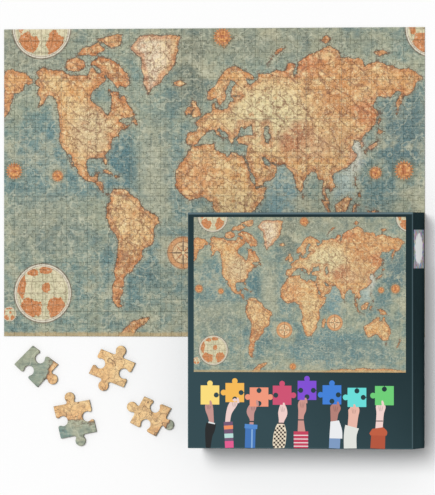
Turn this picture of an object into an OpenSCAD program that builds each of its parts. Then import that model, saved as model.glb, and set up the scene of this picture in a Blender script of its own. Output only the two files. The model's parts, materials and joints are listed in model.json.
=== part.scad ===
// Boxed world-map jigsaw puzzle, laid out on a table: the finished picture panel in
// interlocking sections, its closed lid-and-tray box lying on one corner of the
// panel, and four loose pieces. +X runs along the panel, +Y up the picture, +Z up.

/* [Panel] */
// Width of the finished picture
panel_w = 700; // [400:10:1000]
// Height of the finished picture
panel_d = 500; // [360:10:700]
// Thickness of the puzzle board
panel_t = 2; // [1.2:0.1:4]
// Pieces along the width
piece_columns = 40; // [20:5:50]
// Pieces along the height
piece_rows = 25; // [15:5:40]
// Sections along the width, which divide the piece columns evenly
section_columns = 5; // [5]
// Sections along the height, which divide the piece rows evenly
section_rows = 5; // [5]
// Width of the cut between two sections
kerf = 0.2; // [0.1:0.05:0.4]

/* [Panel knobs] */
// Radius of a knob's round head
knob_r = 2.3; // [1.6:0.1:2.6]
// Height of the head's centre above the cut line
knob_rise = 2.7; // [2:0.1:3.2]
// Radius of the fillet at the neck
knob_fillet = 0.9; // [0.6:0.1:1.4]

/* [Box] */
// Width of the closed box
box_w = 371; // [200:1:450]
// Depth of the closed box, along the picture's height
box_d = 380; // [200:1:450]
// Thickness of the closed box
box_h = 92; // [30:1:140]
// Greyboard thickness
board_t = 1.8; // [1:0.1:3]
// Wrapping paper thickness
wrap_t = 0.2; // [0.1:0.05:0.4]
// Radius of the upright outer corners
corner_r = 1.6; // [1.2:0.1:4]
// Air between the lid's walls and the tray's walls, on each side
lid_gap = 0.6; // [0.3:0.1:2]
// How far the lid's skirt stops above the tray's underside
skirt_gap = 1.2; // [0.5:0.1:20]
// Height of the paper folded in over the walls' edges
turn_in = 16; // [6:1:30]

/* [Corner stays] */
// Width of each leg of the stay paper round a corner
stay_leg = 22; // [10:1:40]
// Stay paper thickness
stay_t = 0.25; // [0.1:0.05:0.5]

/* [Side sticker] */
// Length of the sticker along the box's side
sticker_l = 62; // [20:1:120]
// Height of the sticker
sticker_h = 80; // [15:1:84]
// Sticker thickness
sticker_t = 0.15; // [0.1:0.05:0.5]
// Distance from the box's upper edge in the picture to the sticker
sticker_from_end = 28; // [10:1:200]

/* [Contents] */
// Air between the folded poster and the tray's walls, on each side
poster_air = 5.5; // [1:0.5:30]
// Thickness of the folded poster's four layers
poster_t = 1; // [0.5:0.1:3]
// How far the empty piece bag stops short of the poster's left and right edges
bag_side_margin = 50; // [5:1:60]
// How far the bag stops short of the poster's upper and lower edges
bag_end_margin = 35; // [5:1:45]
// Thickness of the folded bag
bag_t = 1.2; // [0.6:0.1:6]
// Width of the bag's zip strip
zip_w = 9; // [4:1:20]
// How far the zip strip stands above the bag
zip_t = 0.8; // [0.4:0.1:2]
// Air between each of the contents and what it lies on
contents_gap = 0.3; // [0.1:0.1:2]

/* [Loose pieces] */
// Thickness of a loose piece
loose_t = 5; // [2:0.1:8]
// Radius of a loose piece's knobs and sockets
loose_knob_r = 8.4; // [6:0.1:9]
// Height of a loose knob's centre above the piece's side
loose_knob_rise = 9.6; // [8:0.1:11]
// Fillet at a loose knob's neck
loose_knob_fillet = 3; // [1:0.1:4]

/* [Layout] */
// From the panel's right edge to the box's right side
box_from_right = 0; // [-40:1:40]
// From the panel's centre line down to the box's upper side
box_below_middle = 49; // [0:1:150]

/* [Hidden] */
SECTIONS = [for (r = [1:section_rows], c = [1:section_columns]) [r, c]];
function section_name(s) = str("section_", s[0], "_", s[1]);
$fn = 48;

wrap_colour = [0.16, 0.24, 0.25];
board_colour = [0.62, 0.58, 0.52];
kraft_colour = [0.72, 0.58, 0.42];
sea_colour = [0.50, 0.58, 0.53];
land_colour = [0.85, 0.66, 0.47];

// The panel's centre lies this far up from the origin, which is the middle of the
// whole layout from the panel's top edge down to the box's lower side.
box_low_y = -box_below_middle - box_d;
centre_y = -(panel_d / 2 + box_low_y) / 2;

piece_w = panel_w / piece_columns;
piece_d = panel_d / piece_rows;
columns_each = piece_columns / section_columns;
rows_each = piece_rows / section_rows;

box_x = panel_w / 2 - box_from_right - box_w / 2;
box_y = centre_y + box_low_y + box_d / 2;
box_z = panel_t;

lid_h = box_h - skirt_gap;
lid_top_t = board_t + 2 * wrap_t;
lid_wall_t = board_t + 2 * wrap_t;
tray_w = box_w - 2 * (lid_wall_t + lid_gap);
tray_d = box_d - 2 * (lid_wall_t + lid_gap);
tray_h = box_h - lid_top_t;
tray_floor_t = board_t + 2 * wrap_t;

// The poster is the picture folded in four, so it keeps the picture's proportions.
poster_w = tray_w - 2 * tray_floor_t - 2 * poster_air;
poster_d = poster_w * panel_d / panel_w;
bag_w = poster_w - 2 * bag_side_margin;
bag_d = poster_d - 2 * bag_end_margin;
poster_z = tray_floor_t + contents_gap;
bag_z = poster_z + poster_t + contents_gap;

// ---- Outline of a knob ----
// Points of a knob on a cut line, in the order along the line. The line runs along
// +X, and a positive side puts the knob on its -Y side, outwards for an outline
// that runs anticlockwise. inset moves the whole edge inwards, into the piece.
function knob(r, rise, fillet, side, inset, fine) =
    let (
        head = r - side * inset,
        neck = fillet + side * inset,
        half = sqrt(pow(r + fillet, 2) - pow(rise - fillet, 2)),
        lean = atan2(rise - fillet, half),
        turn = 90 + lean,
        left = [for (i = [0:fine]) let (a = -90 + turn * i / fine)
            [-half + neck * cos(a), fillet + neck * sin(a)]],
        steps = 3 * fine,
        top = [for (i = [1:steps - 1]) let (a = 180 + lean - (180 + 2 * lean) * i / steps)
            [head * cos(a), rise + head * sin(a)]],
        right = [for (i = [0:fine]) let (a = 180 - lean + turn * i / fine)
            [half + neck * cos(a), fillet + neck * sin(a)]]
    )
    [for (p = concat(left, top, right)) [p[0], -side * p[1]]];

// The same points turned and moved on to the line through `at` in direction `along`.
function placed(points, at, along) =
    [for (p = points) [at[0] + along[0] * p[0] - along[1] * p[1],
                       at[1] + along[1] * p[0] + along[0] * p[1]]];

// ---- Panel sections ----
// Which way the knob points on each cut between neighbouring pieces: +1 is to the
// right or up, -1 is to the left or down.
function across(c, r) = (3 * c + 5 * r + floor(c * r / 3)) % 2 == 0 ? 1 : -1;
function upward(c, r) = (5 * c + 2 * r + floor(c * r / 4)) % 2 == 0 ? 1 : -1;

function small_knob(side) = knob(knob_r, knob_rise, knob_fillet, side, kerf / 2, 2);

// Outline of the block of pieces from column c0 and row r0, counted from the
// panel's lower left corner, up to column c1 and row r1. Outer edges are straight.
function block(c0, r0, c1, r1) =
    let (
        left = -panel_w / 2 + c0 * piece_w + (c0 > 0 ? kerf / 2 : 0),
        right = -panel_w / 2 + c1 * piece_w - (c1 < piece_columns ? kerf / 2 : 0),
        low = -panel_d / 2 + r0 * piece_d + (r0 > 0 ? kerf / 2 : 0),
        high = -panel_d / 2 + r1 * piece_d - (r1 < piece_rows ? kerf / 2 : 0),
        mid_x = function (c) -panel_w / 2 + (c + 0.5) * piece_w,
        mid_y = function (r) -panel_d / 2 + (r + 0.5) * piece_d
    )
    concat(
        [[left, low]],
        r0 == 0 ? [] : [for (c = [c0:c1 - 1])
            each placed(small_knob(-upward(c, r0)), [mid_x(c), -panel_d / 2 + r0 * piece_d], [1, 0])],
        [[right, low]],
        c1 == piece_columns ? [] : [for (r = [r0:r1 - 1])
            each placed(small_knob(across(c1, r)), [-panel_w / 2 + c1 * piece_w, mid_y(r)], [0, 1])],
        [[right, high]],
        r1 == piece_rows ? [] : [for (c = [c1 - 1:-1:c0])
            each placed(small_knob(upward(c, r1)), [mid_x(c), -panel_d / 2 + r1 * piece_d], [-1, 0])],
        [[left, high]],
        c0 == 0 ? [] : [for (r = [r1 - 1:-1:r0])
            each placed(small_knob(-across(c0, r)), [-panel_w / 2 + c0 * piece_w, mid_y(r)], [0, -1])]
    );

// Section in row s[0], counted down from the top, and column s[1] from the left.
module section(s) {
    c0 = (s[1] - 1) * columns_each;
    r0 = (section_rows - s[0]) * rows_each;
    color((s[0] + s[1]) % 2 == 0 ? sea_colour : land_colour)
    translate([0, centre_y, 0])
    linear_extrude(panel_t)
    polygon(block(c0, r0, c0 + columns_each, r0 + rows_each));
}

// ---- Loose pieces ----
// Each loose piece is [centre, corners, sides]. The centre is counted from the box's
// left side and the panel's lower edge, and the corners run clockwise from the upper
// left. Each side is [kind, share of the side where the knob stands], with kind 1 for
// a knob, -1 for a socket and 0 for a straight edge of the picture.
loose_pieces = [
    [[-273, -49.5],
     [[-7.4, 34], [35.3, 3.7], [0.5, -33.6], [-38.3, 3.7]],
     [[-1, 0.42], [1, 0.47], [-1, 0.54], [0, 0.5]]],
    [[-147.5, -53],
     [[-18.3, 32.4], [39, 9.8], [19.4, -29.9], [-38.9, -7.4]],
     [[1, 0.52], [-1, 0.54], [1, 0.52], [-1, 0.52]]],
    [[-209.5, -134],
     [[-36, 19.8], [24, 30.9], [36.2, -20.9], [-23.4, -32.5]],
     [[1, 0.48], [-1, 0.48], [1, 0.48], [-1, 0.5]]],
    [[-83.5, -129.5],
     [[-10, 32], [35, 13], [9, -32.5], [-34, -10.5]],
     [[-1, 0.48], [1, 0.48], [-1, 0.49], [1, 0.49]]]
];

// Outline of a loose piece about its own centre, anticlockwise.
function loose_outline(corners, sides) =
    [for (i = [3:-1:0])
        let (
            from = corners[(i + 1) % 4],
            to = corners[i],
            length = norm(to - from),
            along = (to - from) / length,
            at = to - along * length * sides[i][1]
        )
        each concat([from], sides[i][0] == 0 ? [] :
            placed(knob(loose_knob_r, loose_knob_rise, loose_knob_fillet, sides[i][0], 0, 4), at, along))];

module loose_piece(n) {
    piece = loose_pieces[n - 1];
    color(n == 1 ? sea_colour : land_colour)
    translate([box_x - box_w / 2 + piece[0][0], centre_y - panel_d / 2 + piece[0][1], 0])
    linear_extrude(loose_t)
    polygon(loose_outline(piece[1], piece[2]));
}

// ---- Box ----
module rounded(w, d, r) {
    square([w - 2 * r, d], center = true);
    square([w, d - 2 * r], center = true);
    for (x = [-1, 1], y = [-1, 1])
        translate([x * (w / 2 - r), y * (d / 2 - r)])
        circle(r);
}

// A block with round upright corners, standing on z = low.
module slab(w, d, r, low, high) {
    translate([0, 0, low]) linear_extrude(high - low) rounded(w, d, r);
}

// An open tray of greyboard, floor down: outer size w by d by h from z = 0.
module board_tray(w, d, h) {
    difference() {
        slab(w, d, corner_r - wrap_t, 0, h);
        translate([0, 0, board_t + h / 2])
        cube([w - 2 * board_t, d - 2 * board_t, h], center = true);
        stays(w, d, h);
    }
}

// Four strips of stay paper let into the outside of the corners of that tray.
module stays(w, d, h) {
    for (x = [-1, 1], y = [-1, 1])
        intersection() {
            difference() {
                slab(w, d, corner_r - wrap_t, 0, h);
                slab(w - 2 * stay_t, d - 2 * stay_t, corner_r - wrap_t - stay_t, 0, h);
            }
            translate([x * (w / 2 - stay_leg / 2), y * (d / 2 - stay_leg / 2), h / 2])
            cube([stay_leg, stay_leg, h], center = true);
        }
}

// The paper round that tray: over the floor and walls, over their edges and in.
module paper_wrap(w, d, h) {
    difference() {
        slab(w + 2 * wrap_t, d + 2 * wrap_t, corner_r, -wrap_t, h + wrap_t);
        slab(w, d, corner_r - wrap_t, 0, h - turn_in);
        difference() {
            slab(w, d, corner_r - wrap_t, 0, h);
            translate([0, 0, h / 2])
            cube([w - 2 * board_t, d - 2 * board_t, h + 2 * turn_in], center = true);
        }
        translate([0, 0, h / 2])
        cube([w - 2 * board_t - 2 * wrap_t, d - 2 * board_t - 2 * wrap_t, h], center = true);
        translate([0, 0, h])
        cube([w - 2 * board_t - 2 * wrap_t, d - 2 * board_t - 2 * wrap_t, turn_in], center = true);
    }
}

// The tray stands on the panel, floor down.
module tray_place() {
    translate([box_x, box_y, box_z + wrap_t]) children();
}

// The lid is the same construction turned over.
module lid_place() {
    translate([box_x, box_y, box_z + box_h - wrap_t]) mirror([0, 0, 1]) children();
}

tray_core = [tray_w - 2 * wrap_t, tray_d - 2 * wrap_t, tray_h - 2 * wrap_t];
lid_core = [box_w - 2 * wrap_t, box_d - 2 * wrap_t, lid_h - 2 * wrap_t];

module tray_board() {
    color(board_colour) tray_place() board_tray(tray_core[0], tray_core[1], tray_core[2]);
}
module tray_corner_stays() {
    color(kraft_colour) tray_place() stays(tray_core[0], tray_core[1], tray_core[2]);
}
module tray_wrap() {
    color(wrap_colour) tray_place() paper_wrap(tray_core[0], tray_core[1], tray_core[2]);
}
module lid_board() {
    color(board_colour) lid_place() board_tray(lid_core[0], lid_core[1], lid_core[2]);
}
module lid_corner_stays() {
    color(kraft_colour) lid_place() stays(lid_core[0], lid_core[1], lid_core[2]);
}
module lid_wrap() {
    color(wrap_colour) lid_place() paper_wrap(lid_core[0], lid_core[1], lid_core[2]);
}

// A plain paper sticker on the lid's right-hand side.
module side_sticker() {
    color([0.86, 0.86, 0.83])
    translate([box_x + box_w / 2, box_y + box_d / 2 - sticker_from_end - sticker_l,
               box_z + box_h - lid_h / 2 - sticker_h / 2])
    cube([sticker_t, sticker_l, sticker_h]);
}

// ---- What the box holds ----
module reference_poster() {
    color([0.93, 0.91, 0.86])
    translate([box_x, box_y, box_z + poster_z + poster_t / 2])
    cube([poster_w, poster_d, poster_t], center = true);
}

module piece_bag() {
    color([0.85, 0.90, 0.92])
    translate([box_x, box_y, box_z + bag_z + bag_t / 2])
    cube([bag_w, bag_d, bag_t], center = true);
}

// The zip strip lies across the bag, just below its open end.
module bag_zip() {
    color([0.60, 0.74, 0.82])
    translate([box_x, box_y + bag_d / 2 - 2 * zip_w, box_z + bag_z + bag_t + zip_t / 2])
    cube([bag_w, zip_w, zip_t], center = true);
}

tray_board();
tray_wrap();
tray_corner_stays();
reference_poster();
piece_bag();
bag_zip();
lid_board();
lid_wrap();
lid_corner_stays();
side_sticker();
loose_piece(1);  // loose_piece_1
loose_piece(2);  // loose_piece_2
loose_piece(3);  // loose_piece_3
loose_piece(4);  // loose_piece_4
for (s = SECTIONS) section(s);
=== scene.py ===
import json
import math
import random

import bmesh
import bpy
import numpy as np
from mathutils import Matrix, Vector


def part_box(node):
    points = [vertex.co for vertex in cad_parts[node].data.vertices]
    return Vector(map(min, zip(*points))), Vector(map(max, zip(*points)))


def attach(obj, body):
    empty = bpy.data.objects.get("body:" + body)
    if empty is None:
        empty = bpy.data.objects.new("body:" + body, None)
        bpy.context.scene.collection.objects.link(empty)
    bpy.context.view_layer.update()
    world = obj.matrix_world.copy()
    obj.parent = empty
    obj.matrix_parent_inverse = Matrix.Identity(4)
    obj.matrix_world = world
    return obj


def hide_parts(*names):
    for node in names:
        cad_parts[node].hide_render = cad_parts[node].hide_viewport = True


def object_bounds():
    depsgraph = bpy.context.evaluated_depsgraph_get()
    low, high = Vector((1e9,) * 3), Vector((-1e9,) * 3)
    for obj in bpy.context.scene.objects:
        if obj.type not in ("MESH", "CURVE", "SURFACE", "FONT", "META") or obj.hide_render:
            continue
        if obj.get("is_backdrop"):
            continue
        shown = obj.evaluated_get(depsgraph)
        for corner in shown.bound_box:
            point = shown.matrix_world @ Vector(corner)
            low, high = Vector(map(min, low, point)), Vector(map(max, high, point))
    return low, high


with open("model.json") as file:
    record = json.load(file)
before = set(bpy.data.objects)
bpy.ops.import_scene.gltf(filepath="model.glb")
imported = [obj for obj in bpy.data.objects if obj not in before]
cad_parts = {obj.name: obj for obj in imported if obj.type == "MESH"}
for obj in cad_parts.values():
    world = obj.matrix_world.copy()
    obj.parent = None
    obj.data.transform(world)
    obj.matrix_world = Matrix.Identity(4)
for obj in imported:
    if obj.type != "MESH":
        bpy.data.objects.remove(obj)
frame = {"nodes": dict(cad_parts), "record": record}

MM = 0.001
cad_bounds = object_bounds()
node_boxes = {name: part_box(name) for name in frame["nodes"]}


# ---- Camera, light and table ----
# The puzzle lies on a white table. The camera looks down on it through a long lens,
# leaning a little to the right, so that the right-hand side of the box shows.
CAMERA_LEAN = math.radians(13)
CAMERA_DISTANCE = 14.0
CAMERA_LENS = 628
AIM = Vector((7.2 * MM, -16 * MM, 2 * MM))
TABLE_SIZE = 8.0
SUN_ELEVATION = math.radians(72)
SUN_SIDE = math.radians(128)
SUN_SHARE = 0.5

lean = Matrix.Rotation(CAMERA_LEAN, 4, "Y")
camera_data = bpy.data.cameras.new("camera")
camera_data.lens = CAMERA_LENS
camera_data.clip_end = 30
camera = bpy.data.objects.new("camera", camera_data)
camera.matrix_world = Matrix.Translation(AIM) @ lean @ Matrix.Translation((0, 0, CAMERA_DISTANCE))
bpy.context.scene.collection.objects.link(camera)
bpy.context.scene.camera = camera
bpy.context.scene.view_settings.view_transform = "Standard"

sun_data = bpy.data.lights.new("window", "SUN")
sun_data.angle = math.radians(24)
sun_data.energy = math.pi * SUN_SHARE / math.sin(SUN_ELEVATION)
sun = bpy.data.objects.new("window", sun_data)
sun_from = Vector((math.cos(SUN_SIDE) * math.cos(SUN_ELEVATION),
                   math.sin(SUN_SIDE) * math.cos(SUN_ELEVATION),
                   math.sin(SUN_ELEVATION)))
sun.rotation_euler = sun_from.to_track_quat("Z", "Y").to_euler()
bpy.context.scene.collection.objects.link(sun)


def node(tree, kind, inputs=(), **settings):
    """A new shader node. inputs maps an input's name or number to a value or an output."""
    made = tree.nodes.new("ShaderNode" + kind)
    for name, value in settings.items():
        setattr(made, name, value)
    for key, value in dict(inputs).items():
        if isinstance(value, bpy.types.NodeSocket):
            tree.links.new(value, made.inputs[key])
        else:
            made.inputs[key].default_value = value
    return made


def sky(scene):
    """Soft white daylight from all round, which the camera sees as plain white."""
    world = bpy.data.worlds.new("daylight")
    world.use_nodes = True
    tree = world.node_tree
    tree.nodes.clear()
    path = node(tree, "LightPath")
    soft = node(tree, "Background", {"Color": (1, 1, 1, 1), "Strength": 1 - SUN_SHARE})
    plain = node(tree, "Background", {"Color": (1, 1, 1, 1), "Strength": 1})
    shown = node(tree, "MixShader", {0: path.outputs["Is Camera Ray"], 1: soft.outputs[0],
                                     2: plain.outputs[0]})
    node(tree, "OutputWorld", {0: shown.outputs[0]})
    scene.world = world


sky(bpy.context.scene)

table_mesh = bpy.data.meshes.new("table")
table_shape = bmesh.new()
bmesh.ops.create_grid(table_shape, x_segments=1, y_segments=1, size=TABLE_SIZE / 2)
table_shape.to_mesh(table_mesh)
table = bpy.data.objects.new("table", table_mesh)
table_paint = bpy.data.materials.new("table_white")
table_paint.use_nodes = True
table_paint.node_tree.nodes["Principled BSDF"].inputs["Base Color"].default_value = (0.99, 0.99, 0.99, 1)
table_paint.node_tree.nodes["Principled BSDF"].inputs["Roughness"].default_value = 0.9
table_paint.node_tree.nodes["Principled BSDF"].inputs["Specular IOR Level"].default_value = 0.0
table_mesh.materials.append(table_paint)
bpy.context.scene.collection.objects.link(table)
table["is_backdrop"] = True


# ---- The picture: coasts ----
# The picture is an old-fashioned world map on paper, 700 by 500 mm, with north up.
# Its lands are drawn here as plain outlines in degrees of longitude and latitude, and
# every printed surface carries its own distance from the nearest coast.
PICTURE_W = 700
PICTURE_H = 500
EQUATOR = 0.419
DEGREE = 2.64
MERIDIANS = [-208, -168, -141, -124, -105.5, -81, -35, -17, 20, 51, 77, 113, 121, 140, 153, 190]
MERIDIAN_AT = [0, 0.075, 0.118, 0.134, 0.178, 0.243, 0.37, 0.41, 0.537, 0.625, 0.704, 0.80, 0.836,
               0.886, 0.927, 0.998]
LANDS = [
    # North America
    [(-168, 66), (-162, 67), (-166, 69), (-156, 71.3), (-141, 69.7), (-128, 70.2), (-115, 68.5),
     (-108, 68), (-96, 68), (-94, 72), (-88, 68.5), (-82, 69.5), (-80, 66), (-85, 64.8), (-90, 62.8),
     (-94, 61), (-94.5, 58.8), (-92, 57), (-85, 55.3), (-82, 53), (-79, 51.3), (-76, 53.5),
     (-76, 56), (-76, 60), (-78, 62.6), (-70, 61.5), (-69, 59), (-65, 60.2), (-61.5, 56.5),
     (-56, 52.5), (-59, 50.3), (-66, 50.2), (-69, 48.8), (-65, 48.5), (-64.5, 46.3), (-60, 46.8),
     (-64, 44.6), (-67, 45), (-70, 43.5), (-70, 41.6), (-74, 40.6), (-75.8, 37), (-76, 35),
     (-81, 31.8), (-80.2, 27), (-80.5, 25.2), (-81.8, 26.2), (-83, 29.5), (-85, 29.8), (-90, 29.3),
     (-94.5, 29.5), (-97.5, 27), (-97.5, 22.5), (-95.5, 18.8), (-91.5, 18.6), (-90.3, 21),
     (-87, 21.4), (-88, 17.5), (-88.3, 15.8), (-83.3, 15), (-83.6, 11), (-81, 9), (-77.5, 8.7),
     (-78.2, 7.2), (-80.5, 7.3), (-83, 8.4), (-86, 11.2), (-87.8, 13.2), (-93.5, 15.8), (-97, 15.9),
     (-102, 18), (-105.5, 20.5), (-105.5, 22.8), (-109.3, 26), (-112.8, 30.5), (-114.7, 31.6),
     (-112, 27.5), (-109.6, 23.2), (-112.2, 25), (-115, 28.8), (-117.2, 32.8), (-120.6, 34.8),
     (-122.5, 37.6), (-124.3, 40.4), (-124, 46.2), (-124.6, 48.4), (-127.5, 50.8), (-130.5, 54.8),
     (-135, 58.5), (-140, 59.8), (-147.5, 61), (-152, 59.3), (-158, 56.5), (-164.5, 54.6),
     (-160, 58.4), (-162, 59.8), (-165, 61.5), (-161, 64.3), (-166.5, 64.6)],
    # Greenland and the Arctic islands
    [(-51, 80.4), (-56, 78.5), (-59.6, 76.2), (-50.2, 74), (-48.5, 67.6), (-45.3, 60.8),
     (-43.8, 60.8), (-34.2, 65.2), (-24, 69), (-17.5, 71.8), (-15.5, 76), (-14, 80.2), (-30, 80.4)],
    [(-119, 70.8), (-116, 73.4), (-107, 74), (-99, 72.6), (-100, 70.2), (-106, 69.4), (-113, 69.6)],
    [(-107, 75.2), (-99, 77), (-88, 78.4), (-82, 76.4), (-90, 74.8), (-98, 74.6)],
    [(-88, 79.2), (-79, 80.6), (-66, 80.6), (-68, 78), (-75, 76.4), (-80, 77.8)],
    [(-94, 72), (-86, 74.2), (-77, 74), (-70, 72), (-61.5, 68), (-59.6, 65), (-63, 62.8), (-68, 64.5),
     (-71, 63.2), (-75, 66), (-79, 66.8), (-85, 70)],
    [(-59.2, 47.8), (-53, 46.8), (-55.5, 51.4)],
    [(-19, 65.5), (-14, 66.4), (-9, 65), (-13.5, 63.5), (-17.5, 64)],
    [(11, 79.5), (18, 80), (26, 80), (20, 78.3), (16.5, 76.7)],
    [(52, 71), (56, 73.5), (67, 76.8), (60, 76.3), (54, 73.2), (51.7, 71.6)],
    [(95, 78.6), (100, 80.4), (105, 79), (100, 77.9)],
    [(138, 75.3), (145, 76), (150, 75), (141, 74)],
    # The Antilles
    [(-84.8, 22), (-80, 23.1), (-74.3, 20.2), (-77.5, 19.9)],
    [(-74.3, 18.4), (-73, 19.9), (-68.5, 18.8), (-71.5, 17.8)],
    # South America
    [(-77.3, 8.5), (-75.5, 10.7), (-72, 12.2), (-71.5, 11), (-68, 11), (-62, 10.7), (-60, 8.5),
     (-52, 5.5), (-50, 1), (-48, -1), (-44, -2.5), (-38.5, -4), (-35, -6.5), (-35, -9), (-39, -13),
     (-39.2, -18), (-41, -22), (-45, -23.8), (-48.6, -26), (-49, -28.8), (-53.5, -33.8),
     (-57, -34.5), (-57.5, -38), (-62, -39), (-65, -41.5), (-65.5, -45), (-67.5, -46.5), (-66, -48),
     (-69, -51), (-68.5, -53), (-65.5, -54.8), (-70, -55.5), (-74.5, -52), (-75.5, -47),
     (-73, -41.5), (-73.5, -37), (-71.5, -32), (-70.3, -25), (-70.2, -18.5), (-76, -14), (-79, -8),
     (-81.3, -5), (-80, -2.5), (-80.5, 0), (-78.8, 2), (-77.3, 4), (-77.8, 7)],
    # Europe and Asia
    [(-9.3, 38.7), (-8.8, 43.2), (-1.8, 43.4), (-1.2, 46), (-4.7, 48.4), (-1.5, 49.7), (2, 51),
     (4.5, 52.5), (8.5, 53.8), (8.2, 57), (10.6, 57.6), (10.5, 54.3), (14, 54), (19, 54.5), (21, 57),
     (24, 57.5), (23.5, 59.3), (30, 60), (22.5, 60), (21.3, 61.5), (25, 65), (22, 65.8),
     (17.5, 61.5), (18.5, 60), (16.3, 57), (14.3, 55.5), (12.5, 56.5), (11, 59), (8, 58), (5.2, 59),
     (5, 62), (10, 64), (14.5, 67.5), (19, 70), (25.5, 71), (31, 70), (40.5, 67.5), (41, 66.2),
     (34, 66.6), (37, 64), (40, 65), (44, 66), (44, 68.3), (54, 68.5), (60, 69.7), (67, 68.8),
     (68, 72), (73, 72), (72.5, 67.5), (75, 68), (76, 72), (81, 73.5), (87, 75), (98, 76.2),
     (104, 77.6), (113, 75.5), (113, 73.6), (127, 73.2), (130, 71), (140, 72.5), (152, 71),
     (160, 69.6), (170, 70), (178, 69.3), (190, 66.2), (181, 64.8), (179, 62.5), (171, 60),
     (164, 60), (162.5, 56.5), (156.8, 51), (155.6, 56.5), (163, 61.5), (157, 61.6), (151, 59.2),
     (142, 59.3), (135.5, 54.8), (141, 53), (140.3, 48.5), (135, 44.2), (131, 43), (127.7, 39.8),
     (129.4, 36.5), (126.5, 34.5), (125, 38), (121.6, 39), (118, 39), (120.8, 37.5), (119.3, 35),
     (121.9, 31.5), (121.5, 28.5), (117, 23.5), (110.5, 21.3), (108, 21.5), (105.8, 19), (109.2, 13),
     (107, 10.4), (105, 8.7), (104.5, 10.5), (102.5, 12.2), (100.3, 13.4), (99.3, 10), (103.4, 4.5),
     (104, 1.4), (101.3, 3), (98.3, 8), (98.6, 12), (97.5, 16.5), (94.5, 16), (91.8, 22.5),
     (87, 21.3), (82.3, 16.6), (80.2, 14), (79.8, 10.3), (77.5, 8.1), (74.8, 13), (72.8, 19),
     (72.2, 21.2), (69, 22.3), (66.5, 25.3), (61.5, 25.1), (57, 27), (54.5, 26.6), (50.5, 30),
     (48, 30), (50, 26.8), (51.3, 25.5), (54, 24.1), (56.4, 26.2), (59.8, 22.4), (57.7, 19),
     (55, 17), (52, 15.6), (45, 12.8), (43.4, 12.7), (42.6, 16.7), (39, 21.5), (35, 28),
     (34.3, 31.3), (36, 36.8), (30.5, 36.6), (27.3, 37), (26.5, 39.3), (29, 41), (35, 42),
     (41.5, 41.3), (38, 44.5), (39.3, 47), (35, 46), (33.5, 44.5), (31, 46.6), (28.6, 44.3),
     (28, 41.7), (26.2, 40.8), (23.5, 40.2), (23.8, 38), (22.5, 36.6), (21, 38.5), (19.4, 41.8),
     (15.5, 43.8), (13.6, 45.6), (12.4, 44.6), (14, 42.5), (18.4, 40), (16.5, 39.5), (16, 38),
     (15.6, 40), (12.3, 41.8), (10.3, 43.8), (8.5, 44.3), (4, 43.4), (3.2, 41.9), (-0.3, 39),
     (-2, 36.8), (-5.6, 36), (-8.9, 37)],
    # The far end of Asia again, at the picture's left edge
    [(-215, 70), (-200, 70.2), (-190, 69.5), (-178, 68.5), (-169.5, 66), (-176, 64.3), (-181, 65),
     (-186, 62), (-195, 61), (-199, 57), (-204, 52), (-215, 50)],
    # Africa and Madagascar
    [(-5.9, 35.7), (3, 36.9), (10.2, 37.3), (10.8, 34), (15.5, 32.3), (19.5, 30.4), (22, 32.8),
     (29, 30.9), (32.4, 31.2), (34, 27.5), (37.3, 21), (39.5, 15.4), (43.2, 11.6), (51.2, 11.8),
     (47.8, 4.5), (42, -1), (39.3, -5), (40.6, -12), (40, -16), (35, -20), (35.5, -24),
     (32.6, -27.5), (28, -33), (20, -34.8), (18, -32.5), (15, -26.5), (12, -17.5), (13.5, -11),
     (12, -5.5), (9, -0.5), (9.8, 3.8), (5.5, 4.3), (2, 6.3), (-4, 5.2), (-8, 4.4), (-13, 8.5),
     (-17, 13.5), (-16.5, 19), (-17, 21.5), (-13, 27.6), (-9.7, 30)],
    [(49.3, -12.2), (50.3, -15.8), (47, -25), (43.7, -23.5), (44.4, -16.5)],
    # The British Isles
    [(-5.5, 50.2), (1.3, 51.2), (0.3, 53), (-2, 55.6), (-2, 57.6), (-5, 58.6), (-5.8, 56.5),
     (-3, 54), (-4.8, 52.5)],
    [(-10, 51.6), (-6.3, 52.3), (-5.6, 54.6), (-8.5, 55.2), (-10, 53.5)],
    # Japan, Sakhalin, Taiwan and Ceylon
    [(130.9, 34), (136.8, 37.3), (139.5, 38.5), (140, 41.3), (142, 39.6), (140.8, 35.8),
     (135.8, 33.6)],
    [(129.8, 33.2), (131.8, 33.2), (130.8, 31.2)],
    [(140.2, 42), (141.7, 45.4), (145.3, 43.3), (143, 42.1)],
    [(142, 46.2), (142, 54), (143.5, 53), (143.2, 49)],
    [(120.2, 23), (121.6, 25.2), (120.9, 22.2)],
    [(79.8, 8.8), (81.8, 7.3), (80.5, 6)],
    # The East Indies
    [(95.3, 5.6), (98.5, 3.8), (103.5, -0.5), (106, -5.5), (104.5, -5.7), (100.5, -1.5)],
    [(105.3, -6.5), (110, -6.5), (114.3, -7.6), (114, -8.6), (107, -7.6)],
    [(109, 1.5), (113, 3.5), (116.8, 7), (119, 5), (117.5, 1), (116, -3.8), (110.5, -2.8)],
    [(119.5, -5.3), (119.8, 0.6), (124.8, 1.5), (121, 0.3), (123, -4.5), (121, -2.5)],
    [(120.5, 18.4), (122.2, 18.3), (121.6, 14), (123.8, 12.8), (120.5, 14)],
    [(122.2, 7), (125.4, 9.6), (126.4, 7), (125.4, 5.8)],
    [(131, -0.8), (134.5, -3), (138, -1.6), (144.5, -3.9), (147.8, -6.5), (150.7, -10.5),
     (146, -8.9), (142.5, -9.2), (138.5, -8.2), (137.8, -5.4), (133, -4)],
    # Australia and New Zealand
    [(113.7, -22.6), (114.2, -26.5), (115.7, -32), (118, -35), (123.5, -33.9), (129, -31.7),
     (134.2, -33), (138, -35.6), (140.5, -38), (146.4, -39), (150, -37.4), (153, -31.5),
     (153.2, -26), (149, -20.5), (146, -18.8), (145.3, -15), (142.5, -10.8), (141.5, -13.5),
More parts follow.
